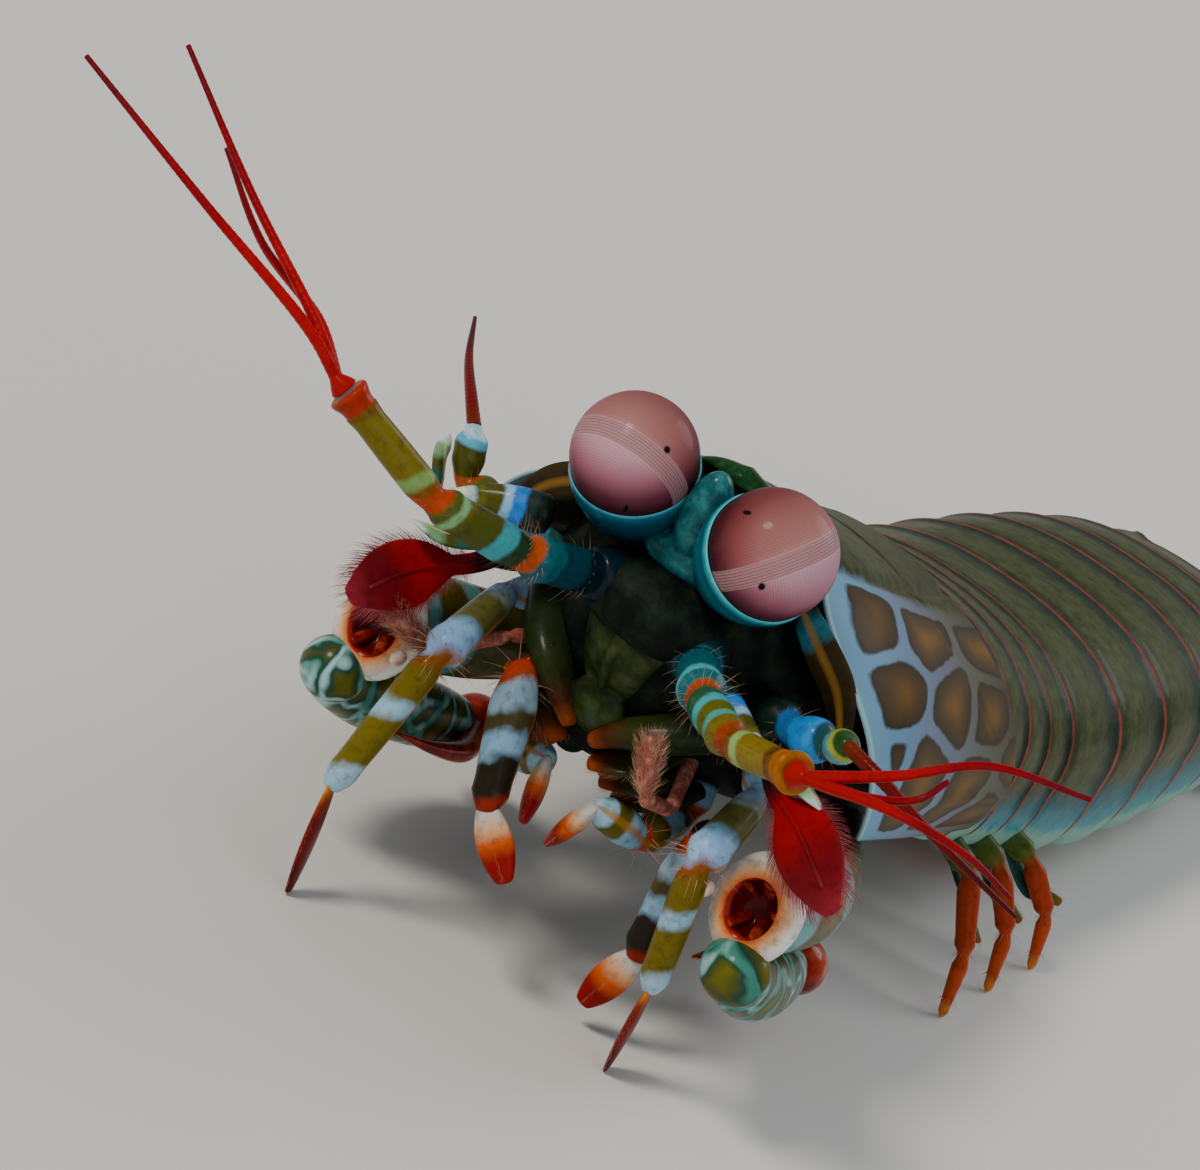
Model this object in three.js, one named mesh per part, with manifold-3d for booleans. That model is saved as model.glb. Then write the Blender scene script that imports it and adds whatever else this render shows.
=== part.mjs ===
// Peacock mantis shrimp, life size, standing on the floor with its head raised.
// Millimetres, +Z up. The head faces -Y and +X is the animal's left side.
// While it is built, x = 0 is the middle plane, y = 0 the centre of the eyes and z = 0 the floor.
// At the end the whole animal is moved so that its origin lies under the middle of its outline.

import * as THREE from 'three';
import { mergeVertices } from 'three/addons/utils/BufferGeometryUtils.js';
import Module from 'manifold-3d';

const wasm = await Module();
wasm.setup();

// Driving sizes
const GAP = 0.3; // between neighbouring pieces
const EYE_HEIGHT = 30; // centre of the eyes over the floor
const CARAPACE_THICKNESS = 0.9;
const EYE_SPREAD = 4.7; // from the middle plane to the centre of an eye
const CORNEA_RADIUS = 3.5;
const BODY_SIDES = 12; // strips over the back of a body ring
const SIDES = { left: 1, right: -1 };

const vec = (x, y, z) => new THREE.Vector3(x, y, z);
const mix = THREE.MathUtils.lerp;
const UP = vec(0, 0, 1);

// A list of stations as smooth curves: the first number of each row is y, the rest are read there.
function stations(rows) {
  const positions = rows.map((row) => row[0]);
  const values = rows.flatMap((row) => row.slice(1));
  const smooth = new THREE.CubicInterpolant(positions, values, rows[0].length - 1);
  return (y) => Array.from(smooth.evaluate(y));
}

// Surfaces and solids

// The triangles of a flat end, turned the way its ring runs.
function fillRing(ring) {
  const centre = vec(0, 0, 0);
  ring.forEach((point) => centre.add(point));
  centre.divideScalar(ring.length);
  const normal = vec(0, 0, 0);
  ring.forEach((point, i) => {
    const next = ring[(i + 1) % ring.length];
    normal.add(point.clone().sub(centre).cross(next.clone().sub(centre)));
  });
  normal.normalize();
  const across = ring[0].clone().sub(centre).projectOnPlane(normal).normalize();
  const along = normal.clone().cross(across);
  const flat = ring.map((point) => {
    const offset = point.clone().sub(centre);
    return new THREE.Vector2(offset.dot(across), offset.dot(along));
  });
  return THREE.ShapeUtils.triangulateShape(flat, []).map(([a, b, c]) => {
    const ab = flat[b].clone().sub(flat[a]);
    const ac = flat[c].clone().sub(flat[a]);
    return ab.cross(ac) < 0 ? [a, c, b] : [a, b, c];
  });
}

// A closed body through a row of rings; a ring of one point is a tip.
function loft(rings) {
  const points = [];
  const triangles = [];
  const starts = rings.map((ring) => {
    const start = points.length;
    points.push(...ring);
    return start;
  });
  for (let k = 0; k + 1 < rings.length; k += 1) {
    const count = Math.max(rings[k].length, rings[k + 1].length);
    for (let j = 0; j < count; j += 1) {
      const here = (i) => starts[k] + (rings[k].length === 1 ? 0 : i % count);
      const there = (i) => starts[k + 1] + (rings[k + 1].length === 1 ? 0 : i % count);
      if (rings[k].length > 1) triangles.push([here(j), here(j + 1), there(j + 1)]);
      if (rings[k + 1].length > 1) triangles.push([here(j), there(j + 1), there(j)]);
    }
  }
  const last = rings.length - 1;
  if (rings[0].length > 1) {
    fillRing(rings[0]).forEach(([a, b, c]) => triangles.push([a, c, b]));
  }
  if (rings[last].length > 1) {
    fillRing(rings[last]).forEach(([a, b, c]) => {
      triangles.push([starts[last] + a, starts[last] + b, starts[last] + c]);
    });
  }
  return solid(points, triangles);
}

// A manifold body from points and triangles, turned so that its faces point out.
function solid(points, triangles) {
  let volume = 0;
  triangles.forEach(([a, b, c]) => {
    volume += points[a].dot(points[b].clone().cross(points[c]));
  });
  const faces = volume < 0 ? triangles.map(([a, b, c]) => [a, c, b]) : triangles;
  return new wasm.Manifold(new wasm.Mesh({
    numProp: 3,
    vertProperties: new Float32Array(points.flatMap((point) => point.toArray())),
    triVerts: new Uint32Array(faces.flat()),
  }));
}

// A manifold body from one of three's own closed geometries.
function fromGeometry(geometry) {
  geometry.deleteAttribute('normal');
  geometry.deleteAttribute('uv');
  const merged = mergeVertices(geometry, 1e-4);
  const place = merged.getAttribute('position');
  const points = Array.from({ length: place.count }, (_, i) => vec(0, 0, 0).fromBufferAttribute(place, i));
  const triangles = [];
  for (let i = 0; i < merged.index.count; i += 3) {
    const corners = [0, 1, 2].map((k) => merged.index.getX(i + k));
    if (new Set(corners).size === 3) triangles.push(corners);
  }
  return solid(points, triangles);
}

const join = (bodies) => bodies.reduce((whole, body) => whole.add(body));
const cut = (body, tools) => tools.reduce((rest, tool) => rest.subtract(tool), body);

// The largest closed piece of a body.
function largest(body) {
  return body.decompose().reduce((best, piece) => (piece.volume() > best.volume() ? piece : best));
}

// The floor as a body, which cuts a small flat where a foot reaches it.
const FLOOR_SIZE = 400;
const floor = fromGeometry(
  new THREE.BoxGeometry(FLOOR_SIZE, FLOOR_SIZE, FLOOR_SIZE).translate(0, 0, -FLOOR_SIZE / 2),
);

// A ring with the outline of a rounded rectangle; power 2 is an ellipse.
function ovalRing(centre, side, up, halfWidth, halfHeight, count, power = 2) {
  return Array.from({ length: count }, (_, i) => {
    const angle = (2 * Math.PI * i) / count;
    const bend = (value) => Math.sign(value) * Math.abs(value) ** (2 / power);
    return centre.clone()
      .addScaledVector(side, halfWidth * bend(Math.cos(angle)))
      .addScaledVector(up, halfHeight * bend(Math.sin(angle)));
  });
}

// A rod along a smooth curve. size(t) gives half width and half depth at t from 0 to 1.
// The width lies square to the rod and to the direction called face.
function rod(points, size, { rings = 6, sides = 6, face = UP, tip = false } = {}) {
  const curve = new THREE.CatmullRomCurve3(points, false, 'centripetal');
  const list = [];
  for (let i = 0; i <= rings; i += 1) {
    const t = i / rings;
    const centre = curve.getPoint(t);
    if (tip && i === rings) {
      list.push([centre]);
      break;
    }
    const along = curve.getTangent(t);
    const side = along.clone().cross(face).normalize();
    const deep = side.clone().cross(along).normalize();
    const [halfWidth, halfDepth] = size(t);
    list.push(ovalRing(centre, side, deep, halfWidth, halfDepth, sides));
  }
  return loft(list);
}

// A thin spine or one vane of a fringe: four sides and a point.
function blade(root, tip, halfWidth, halfDepth, face = UP) {
  return rod([root, tip], () => [halfWidth, halfDepth], { rings: 1, sides: 4, face, tip: true });
}

// Vanes round the end of a flat rod that was made with the same points, size and face.
// They begin at start along both sides, turn with the edge and meet at the tip.
const VANE_SUNK = 0.5; // how deep a vane is rooted
function fringe(points, size, { count, length, start = 0.35, face = UP }) {
  const curve = new THREE.CatmullRomCurve3(points, false, 'centripetal');
  return Array.from({ length: count }, (_, i) => {
    const turn = mix(-1, 1, i / (count - 1));
    const t = mix(0.97, start, Math.abs(turn) ** 1.4);
    const along = curve.getTangent(t);
    const out = along.clone().cross(face).normalize().multiplyScalar(Math.sign(turn) || 1);
    const way = along.clone().multiplyScalar(1.15 - Math.abs(turn)).addScaledVector(out, 0.3 + Math.abs(turn));
    way.normalize();
    const edge = curve.getPoint(t).addScaledVector(out, turn === 0 ? 0 : size(t)[0] * 0.93);
    const root = edge.clone().addScaledVector(way, -VANE_SUNK);
    return blade(root, edge.addScaledVector(way, length), 0.6, 0.25, face);
  });
}

// A jointed limb: full along each stretch and narrow at the joints.
// widths and depths hold one size for each joint; a depth lies along face.
const JOINT_NECK = 0.68; // size of a joint as a share of the limb's own
function limb(joints, widths, depths, face = vec(1, 0, 0), sides = 6) {
  const list = [];
  const ring = (centre, along, width, depth) => {
    const side = along.clone().cross(face).normalize();
    const deep = side.clone().cross(along).normalize();
    list.push(ovalRing(centre, side, deep, width / 2, depth / 2, sides));
  };
  const last = joints.length - 1;
  const ways = joints.slice(1).map((to, i) => to.clone().sub(joints[i]).normalize());
  joints.forEach((joint, i) => {
    const before = ways[Math.max(i - 1, 0)];
    const after = ways[Math.min(i, last - 1)];
    const neck = i === 0 ? 0.9 : JOINT_NECK;
    ring(joint, before.clone().add(after).normalize(), neck * widths[i], neck * depths[i]);
    if (i === last) return;
    const length = joints[i + 1].distanceTo(joint);
    [0, 1].forEach((end) => {
      const inset = Math.min(0.75 * widths[i + end], 0.38 * length);
      const t = end ? 1 - inset / length : inset / length;
      ring(
        joint.clone().lerp(joints[i + 1], t),
        ways[i],
        mix(widths[i], widths[i + 1], t),
        mix(depths[i], depths[i + 1], t),
      );
    });
  });
  return loft(list);
}

// A ball stretched along three directions.
function egg(centre, along, radii, count = 12, rows = 8) {
  const ball = new THREE.SphereGeometry(1, count, rows);
  ball.scale(radii[0], radii[1], radii[2]);
  ball.applyQuaternion(new THREE.Quaternion().setFromUnitVectors(UP, along.clone().normalize()));
  ball.translate(centre.x, centre.y, centre.z);
  return fromGeometry(ball);
}

// Trunk

// y, height of the side line, half width, rise of the back, depth of the side plates, of the belly
const trunk = stations([
  [30, 16.3, 12.8, 9.1, 4.7, 6.4],
  [38, 14.9, 12.9, 8.9, 5.0, 6.2],
  [47, 13.4, 13.0, 8.7, 5.3, 6.0],
  [56, 12.3, 13.3, 8.5, 6.0, 5.8],
  [68, 11.5, 13.9, 8.4, 7.2, 5.5],
  [92, 11.0, 14.3, 8.4, 7.8, 5.4],
  [116, 10.0, 13.8, 8.0, 7.0, 5.2],
  [128, 9.2, 12.3, 7.2, 5.5, 5.0],
  [136, 8.6, 11.0, 6.4, 4.4, 4.8],
]);
const PLATE_FOLD = 0.8; // where a side plate's inner face starts, as a share of the half width
const BELLY_EDGE = 0.68;

// One ring of a body somite: the arched back, the side plates that hang down, and the belly.
function somiteRing(y, fullness, plateShare, grow) {
  const [height, halfWidth, rise, plateDepth, bellyDepth] = trunk(y);
  const slope = (trunk(y + 0.5)[0] - trunk(y - 0.5)[0]);
  const up = vec(0, -slope, 1).normalize();
  const place = (x, z) => vec(x, y, height).addScaledVector(up, z);
  const bare = halfWidth * fullness;
  const wide = bare + grow;
  const tall = rise * fullness + grow;
  const plate = Math.max(plateDepth * plateShare, bellyDepth * 0.72) + grow;
  const ring = [];
  for (let i = 0; i <= BODY_SIDES; i += 1) {
    const angle = (Math.PI * i) / BODY_SIDES;
    const across = Math.sign(Math.cos(angle)) * Math.abs(Math.cos(angle)) ** 0.87;
    ring.push(place(wide * across, tall * Math.sin(angle) ** 0.87));
  }
  const under = [
    [-0.99 * wide, -0.55 * plate],
    [-0.93 * wide, -plate],
    [grow - PLATE_FOLD * bare, -0.97 * plate],
    [grow - BELLY_EDGE * bare, -bellyDepth * 0.7 - grow],
    [0, -bellyDepth - grow],
  ];
  under.forEach(([x, z]) => ring.push(place(x, z)));
  under.slice(0, -1).reverse().forEach(([x, z]) => ring.push(place(-x, z)));
  return ring;
}

// A somite: a ring of shell, narrower in front where the one before it overlaps it.
function somite(front, back, grow = 0) {
  const profile = [
    [0, 0.955, 0.72],
    [0.18, 0.985, 0.93],
    [0.5, 1, 1],
    [0.86, 1.005, 0.93],
    [1, 1.03, 0.76],
  ];
  return loft(profile.map(([t, fullness, plateShare]) => somiteRing(
    mix(front + GAP / 2 - grow, back - GAP / 2 + grow, t),
    fullness,
    plateShare,
    grow,
  )));
}

// Head under the carapace: y, height of its middle, half width, rise, depth
const core = stations([
  [0.4, 22.0, 1.2, 1.0, 1.6],
  [1.6, 22.3, 4.2, 3.3, 4.7],
  [4, 21.8, 6.6, 5.8, 6.2],
  [8, 20.6, 9.2, 8.3, 6.9],
  [16, 18.4, 11.7, 9.8, 7.0],
  [26, 16.6, 12.8, 9.7, 6.6],
  [37.8, 14.95, 12.9, 9.1, 6.0],
]);
const CORE_RINGS = [0.4, 1.6, 4, 8, 13, 19, 28, 37.8];
const CHEST_LEAN = 0.17; // how far the rings lean back for each millimetre up, at the chest
const BROW = { centre: vec(0, 1.0, 23.4), radii: [4.6, 2.8, 2.4] }; // carries the antennules

function coreBody(grow = 0) {
  const chest = loft(CORE_RINGS.map((y) => {
    const [height, halfWidth, rise, depth] = core(y);
    const lean = (CHEST_LEAN * y) / CORE_RINGS.at(-1);
    return Array.from({ length: 20 }, (_, i) => {
      const angle = (2 * Math.PI * i) / 20;
      const tall = Math.sin(angle) > 0 ? rise : depth;
      const lift = (tall + grow) * Math.sin(angle);
      return vec((halfWidth + grow) * Math.cos(angle), y + lean * lift, height + lift);
    });
  }));
  return join([chest, egg(BROW.centre, UP, BROW.radii.map((radius) => radius + grow), 12, 8)]);
}

// Carapace: y, height of its side line, half width, rise
const shield = stations([
  [5, 19.3, 14.0, 12.0],
  [12, 18.4, 14.3, 11.6],
  [22, 16.9, 14.5, 10.9],
  [32, 15.6, 14.6, 10.4],
  [40, 14.7, 14.5, 10.2],
]);
const SHIELD_SPREAD = THREE.MathUtils.degToRad(103); // from the middle line to the side edge
const SHIELD_ACROSS = 18;
const SHIELD_ALONG = 6;

// A point of the carapace: u from -1 to 1 across, v from 0 in front to 1 behind. Each side has a
// lobe that reaches forward beside the eyes, and at the front the shoulders are drawn in.
function shieldPoint(u, v, inset) {
  const lobe = 1.5 * Math.exp(-(((Math.abs(u) - 0.54) / 0.23) ** 2));
  const shoulder = 0.24 * Math.exp(-(((Math.abs(u) - 0.4) / 0.2) ** 2));
  const front = 6.3 - 1.2 * Math.abs(u) ** 1.5 + 6.6 * Math.abs(u) ** 4.2 - lobe;
  const back = 34.2 + 5.2 * Math.abs(u) ** 1.6 - 5 * Math.abs(u) ** 9;
  const y = mix(front, back, v);
  const [height, halfWidth, rise] = shield(y);
  const angle = u * SHIELD_SPREAD;
  const narrow = 1 - shoulder * (1 - THREE.MathUtils.smoothstep(y, 4, 16));
  const bend = (value) => Math.sign(value) * Math.abs(value) ** 1.04;
  return vec(
    (halfWidth * narrow - inset) * bend(Math.sin(angle)),
    y,
    height + (rise - inset) * bend(Math.cos(angle)),
  );
}

function carapaceBody() {
  const points = [];
  const triangles = [];
  const row = SHIELD_ACROSS + 1;
  const layer = row * (SHIELD_ALONG + 1);
  [0, CARAPACE_THICKNESS].forEach((inset) => {
    for (let j = 0; j <= SHIELD_ALONG; j += 1) {
      for (let i = 0; i <= SHIELD_ACROSS; i += 1) {
        points.push(shieldPoint((2 * i) / SHIELD_ACROSS - 1, j / SHIELD_ALONG, inset));
      }
    }
  });
  for (let j = 0; j < SHIELD_ALONG; j += 1) {
    for (let i = 0; i < SHIELD_ACROSS; i += 1) {
      const a = j * row + i;
      const b = a + 1;
      const c = a + row;
      const d = c + 1;
      triangles.push([a, b, d], [a, d, c]);
      triangles.push([b + layer, a + layer, d + layer], [d + layer, a + layer, c + layer]);
    }
  }
  const edge = [];
  for (let i = 0; i < SHIELD_ACROSS; i += 1) edge.push(i);
  for (let j = 0; j < SHIELD_ALONG; j += 1) edge.push(j * row + SHIELD_ACROSS);
  for (let i = SHIELD_ACROSS; i > 0; i -= 1) edge.push(SHIELD_ALONG * row + i);
  for (let j = SHIELD_ALONG; j > 0; j -= 1) edge.push(j * row);
  edge.forEach((a, i) => {
    const b = edge[(i + 1) % edge.length];
    triangles.push([b, a, a + layer], [b, a + layer, b + layer]);
  });
  return solid(points, triangles);
}

// Plate in front of the carapace, over the roots of the eyes
function rostralPlate() {
  // y, half width, height over the eyes' middle, thickness
  const rows = [
    [2.9, 1.0, 1.6, 0.5],
    [3.5, 2.3, 2.0, 0.8],
    [4.7, 3.7, 1.8, 0.9],
    [6.1 - GAP, 4.3, 1.25, 0.9],
  ];
  const steps = 6;
  const sunk = (x) => 0.085 * x * x;
  return loft(rows.map(([y, halfWidth, rise, thick]) => {
    const line = (drop) => Array.from({ length: steps + 1 }, (_, i) => {
      const x = halfWidth * (1 - (2 * i) / steps);
      return vec(x, y, EYE_HEIGHT + rise - sunk(x) - drop);
    });
    return [...line(0), ...line(thick).reverse()];
  }));
}

// Eyes

// Each eye looks its own way, as the animal turns them one by one.
const GAZE = {
  left: vec(0.5, -0.58, 0.64).normalize(),
  right: vec(-0.1, -0.7, 0.71).normalize(),
};
const CORNEA_EDGE = THREE.MathUtils.degToRad(104); // how far round the eye the cornea reaches
const eyeCentre = (name) => vec(SIDES[name] * EYE_SPREAD, 0, EYE_HEIGHT);

// A turned body, its axis along z from the origin, set at a place along a direction.
function turned(profile, place, along, count) {
  const outline = profile.map(([radius, height]) => new THREE.Vector2(radius, height));
  const shape = new THREE.LatheGeometry(outline, count);
  shape.rotateX(Math.PI / 2);
  shape.applyQuaternion(new THREE.Quaternion().setFromUnitVectors(UP, along));
  shape.translate(place.x, place.y, place.z);
  return fromGeometry(shape);
}

function cornea(name) {
  const steps = 8;
  const outline = [[0, Math.cos(CORNEA_EDGE) * CORNEA_RADIUS]];
  for (let i = 0; i <= steps; i += 1) {
    const angle = CORNEA_EDGE * (1 - i / steps);
    outline.push([i === steps ? 0 : CORNEA_RADIUS * Math.sin(angle), CORNEA_RADIUS * Math.cos(angle)]);
  }
  return turned(outline, eyeCentre(name), GAZE[name], 18);
}

// The teal cup that holds the cornea, and the stalk that carries it
const STALK_ROOT = { left: vec(1.5, 2.3, 27.4), right: vec(-1.5, 2.3, 27.4) };

function eyeStalk(name) {
  const edge = Math.cos(CORNEA_EDGE) * CORNEA_RADIUS;
  const cup = turned([
    [0, edge - 3.4],
    [1.7, edge - 3.3],
    [2.7, edge - 2.2],
    [3.4, edge - 1.0],
    [3.55, edge - 0.5],
    [3.45, edge - GAP],
    [0, edge - GAP],
  ], eyeCentre(name), GAZE[name], 18);
  const foot = eyeCentre(name).addScaledVector(GAZE[name], edge - 2.6);
  const root = STALK_ROOT[name];
  const neck = rod(
    [foot, foot.clone().lerp(root, 0.5).add(vec(0, 0.3, -0.3)), root],
    (t) => [mix(2.0, 1.3, t), mix(2.0, 1.5, t)],
    { rings: 2, sides: 10 },
  );
  return cut(join([cup, neck]), [eyeBase(GAP)]);
}

// The small somite between the eyes: a rounded post with a short point on each side
function eyeBase(grow = 0) {
  const post = egg(vec(0, 1.2, 28.3), vec(0, -0.3, 1), [1.15, 1.5, 3.1].map((r) => r + grow), 10, 6);
  const bar = egg(vec(0, 1.9, 26.4), vec(1, 0, 0), [1.6, 1.6, 2.4].map((r) => r + grow), 8, 6);
  return join([post, bar]);
}

// Antennules: three stretches and three whips

const ANTENNULE = {
  left: {
    joints: [vec(3.6, 1.2, 22.6), vec(6.6, -3.7, 22.5), vec(10.4, -8.1, 23.0), vec(15.0, -12.6, 25.2)],
    whips: [
      [vec(19.0, -10.6, 27.5), vec(22.0, -8.0, 29.8), vec(26.4, -5.0, 30.5)],
      [vec(18.0, -11.7, 25.8), vec(20.3, -9.8, 26.9), vec(21.0, -9.3, 28.4)],
      [vec(19.8, -11.2, 26.1), vec(23.7, -9.0, 25.8), vec(26.2, -7.6, 24.9)],
    ],
  },
  right: {
    joints: [vec(-2.6, 0.2, 23.6), vec(-4.9, -5.9, 24.1), vec(-9.0, -10.4, 25.1), vec(-14.3, -13.6, 27.7)],
    whips: [
      [vec(-17.5, -14.5, 29.5), vec(-25.5, -15.9, 32.2), vec(-35.1, -16.8, 35.2)],
      [vec(-17.9, -13.9, 29.9), vec(-24.6, -13.4, 33.2), vec(-32.5, -12.8, 37.7)],
      [vec(-18.0, -13.4, 29.9), vec(-24.0, -11.6, 31.0), vec(-30.0, -8.9, 33.3)],
    ],
  },
};
const ANTENNULE_WIDTHS = [2.3, 2.5, 2.2, 1.7];
const WHIP_ROOT = 0.55; // half width of a whip at its root
const WHIP_TIP = 0.22;

function antennule(name) {
  const { joints } = ANTENNULE[name];
  const along = joints[3].clone().sub(joints[2]).normalize();
  const collar = turned([
    [0, -0.7],
    [1.0, -0.7],
    [1.25, -0.1],
    [1.2, 0.5],
    [0, 0.5],
  ], joints[3], along, 10);
  return join([limb(joints, ANTENNULE_WIDTHS, ANTENNULE_WIDTHS, UP, 8), collar]);
}

function whips(name) {
  const { joints, whips: paths } = ANTENNULE[name];
  const along = joints[3].clone().sub(joints[2]).normalize();
  const root = joints[3].clone().addScaledVector(along, 0.5 + GAP);
  const seat = turned([[0, 0], [0.95, 0], [0.8, 0.9], [0, 1.0]], root, along, 8);
  const start = root.clone().addScaledVector(along, 0.45);
  const rods = paths.map((path) => rod(
    [start, ...path],
    (t) => [mix(WHIP_ROOT, WHIP_TIP, t), mix(WHIP_ROOT, WHIP_TIP, t)],
    { rings: 5, sides: 5 },
  ));
  return join([seat, ...rods]);
}

// Antennae: a base of three stretches, a leaf-shaped spine, and one whip
const ANTENNA = {
  joints: [vec(7.0, 4.2, 21.4), vec(10.0, 1.4, 22.3), vec(12.8, 0.4, 23.2)],
  ends: { left: vec(13.9, -1.6, 24.4), right: vec(-13.9, 0.6, 25.9) },
  whips: {
    left: [vec(16.4, -2.2, 24.2), vec(20.0, -0.5, 22.8), vec(25.0, 3.5, 20.6)],
    right: [vec(-15.4, 2.0, 26.6), vec(-18.5, 5.8, 27.4), vec(-21.8, 11.0, 28.2)],
  },
  leaf: [vec(10.2, 2.0, 20.6), vec(12.0, 1.5, 20.1), vec(13.8, 0.9, 19.9)],
  scales: {
    left: [vec(9.0, 2.8, 21.6), vec(10.4, 2.2, 19.2), vec(13.6, 0.4, 18.4), vec(18.0, -2.4, 17.0)],
    right: [vec(-9.0, 2.8, 21.6), vec(-10.2, 2.0, 19.5), vec(-11.7, -1.8, 18.2), vec(-12.6, -6.0, 16.2)],
  },
};
const onSide = (side, point) => vec(side * point.x, point.y, point.z);
const allOnSide = (side, points) => points.map((point) => onSide(side, point));

function antenna(name, grow = 0) {
  const side = SIDES[name];
  const joints = [...allOnSide(side, ANTENNA.joints), ANTENNA.ends[name]];
  const widths = [2.4, 2.5, 2.0, 1.5].map((width) => width + 2 * grow);
  const parts = [limb(joints, widths, widths, UP)];
  const leafHalf = (t) => 0.1 + 0.75 * Math.sin(Math.PI * Math.min(1, 0.25 + 0.75 * t));
  parts.push(rod(
    allOnSide(side, ANTENNA.leaf),
    (t) => [leafHalf(t) + grow, 0.3 + grow],
    { rings: 4, sides: 6 },
  ));
  if (!grow) {
    parts.push(rod(
      [joints[3], ...ANTENNA.whips[name]],
      (t) => [mix(0.5, 0.2, t), mix(0.5, 0.2, t)],
      { rings: 6, sides: 5 },
    ));
  }
  return join(parts);
}

const SCALE_HALF_WIDTH = 2.2;

function antennalScale(name) {
  const oval = (t) => SCALE_HALF_WIDTH * Math.sin(Math.PI * mix(-0.25, 0.9, t));
  const size = (t) => [Math.max(0.6, oval(t)), 0.35];
  const face = vec(-0.3 * SIDES[name], -0.9, 0.3);
  const points = ANTENNA.scales[name];
  return join([
    rod(points, size, { rings: 6, sides: 6, face }),
    ...fringe(points, size, { count: 9, length: 1.5, start: 0.5, face }),
  ]);
}

// Mouth: the upper lip and the jaws behind it
function mouth() {
  const jaws = [1, -1].map((side) => (
    egg(vec(side * 2.0, 5.2, 14.3), vec(side * 0.5, 0.2, 1), [1.5, 1.9, 2.2], 7, 5)
  ));
  return join([egg(vec(0, 3.2, 15.6), vec(0, -0.4, 1), [2.3, 1.7, 2.1], 8, 6), ...jaws]);
}

// First maxillipeds: slender, with a brush at the tip
const CLEANER = {
  left: [vec(4.4, 7.0, 16.8), vec(6.2, 3.0, 14.0), vec(6.0, -1.6, 15.4), vec(4.8, -2.0, 18.4)],
  right: [vec(-5.0, 6.6, 17.6), vec(-6.3, 2.2, 16.2), vec(-9.2, -1.6, 13.6), vec(-11.1, -3.6, 16.0)],
};

const cleaner = (name) => limb(CLEANER[name], [1.2, 1.1, 1.0, 1.5], [1.1, 1.0, 1.0, 1.2], UP);

// Striking claws: the heavy upper stretch, the hand folded under it, and the hammer
const CLAW = {
  merus: [vec(8.2, 19.5, 13.6), vec(11.6, 11.5, 12.6), vec(12.8, 4.5, 13.4), vec(12.4, -1.8, 13.9)],
  wrist: vec(13.4, -1.4, 10.4),
  hand: [vec(13.6, -0.6, 9.6), vec(13.3, 5.0, 7.9), vec(12.4, 11.5, 6.3), vec(11.8, 15.0, 5.8)],
  heel: vec(11.6, 17.4, 5.4),
  finger: [vec(11.4, 17.2, 5.4), vec(9.8, 13.0, 5.4), vec(9.5, 8.0, 6.4), vec(9.9, 2.6, 7.9)],
};

const CLAW_SHIFT = { left: vec(1.2, 2.0, -0.6), right: vec(0, 0, 0) }; // as the photo shows them
const clawPoints = (name, points) => (
  allOnSide(SIDES[name], points).map((point) => point.add(CLAW_SHIFT[name]))
);

function merus(name, grow = 0) {
  const full = (t) => 0.5 + 0.5 * Math.sin(Math.PI * mix(0.12, 0.8, t)) ** 0.8;
  return rod(
    clawPoints(name, CLAW.merus),
    (t) => [2.4 * full(t) + grow, 2.9 * full(t) + grow],
    { rings: 6, sides: 10 },
  );
}

function hand(name, grow = 0) {
  const full = (t) => 0.55 + 0.45 * Math.sin(Math.PI * mix(0.1, 0.95, t)) ** 0.8;
  const palm = rod(
    clawPoints(name, CLAW.hand),
    (t) => [1.8 * full(t) + grow, 2.2 * full(t) + grow],
    { rings: 5, sides: 9 },
  );
  const [wrist] = clawPoints(name, [CLAW.wrist]);
  return join([palm, egg(wrist, vec(0, -0.4, 1), [2.0, 1.9, 1.9].map((r) => r + grow), 8, 6)]);
}

function hammer(name) {
  const heel = egg(clawPoints(name, [CLAW.heel])[0], vec(0, 1, -0.3), [2.0, 1.9, 2.3], 10, 6);
  const finger = rod(
    clawPoints(name, CLAW.finger),
    (t) => [mix(1.3, 0.35, t ** 0.7), mix(1.4, 0.35, t ** 0.7)],
    { rings: 5, sides: 6 },
  );
  return join([heel, finger]);
}

// Holding limbs behind the claws: root, elbow, knee, wrist and the tip of the round hand
const HOLDERS = {
  left: [
    [vec(4.6, 11.0, 15.8), vec(5.6, 8.6, 12.4), vec(5.0, 4.6, 11.0), vec(2.8, 2.0, 12.0), vec(1.4, 2.2, 8.6)],
    [vec(7.0, 7.6, 18.6), vec(9.6, 4.6, 17.2), vec(10.3, -1.4, 14.2), vec(11.1, 0.6, 6.1), vec(11, 1.8, -0.3)],
    [vec(6.8, 13.0, 15.6), vec(8.0, 9.6, 13.0), vec(8.1, 5.0, 12.6), vec(8.6, 3.8, 5.6), vec(7.4, 3.6, 1.6)],
  ],
  right: [
    [vec(-4.4, 11, 15.8), vec(-5.2, 8.6, 11.6), vec(-3.8, 5.4, 10.4), vec(-1.4, 3.0, 12), vec(-0.4, 1.8, 8.8)],
    [vec(-7, 7.6, 18.6), vec(-8.9, 4.6, 18.2), vec(-7.7, -3.2, 15.4), vec(-8.5, -5.2, 6.5), vec(-7.5, -5.7, -0.3)],
    [vec(-6.6, 13, 15.4), vec(-6.6, 8.6, 13.6), vec(-4.3, 0.6, 16), vec(-1.1, -2.5, 9.8), vec(1.8, -2.3, 7)],
  ],
};

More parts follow.
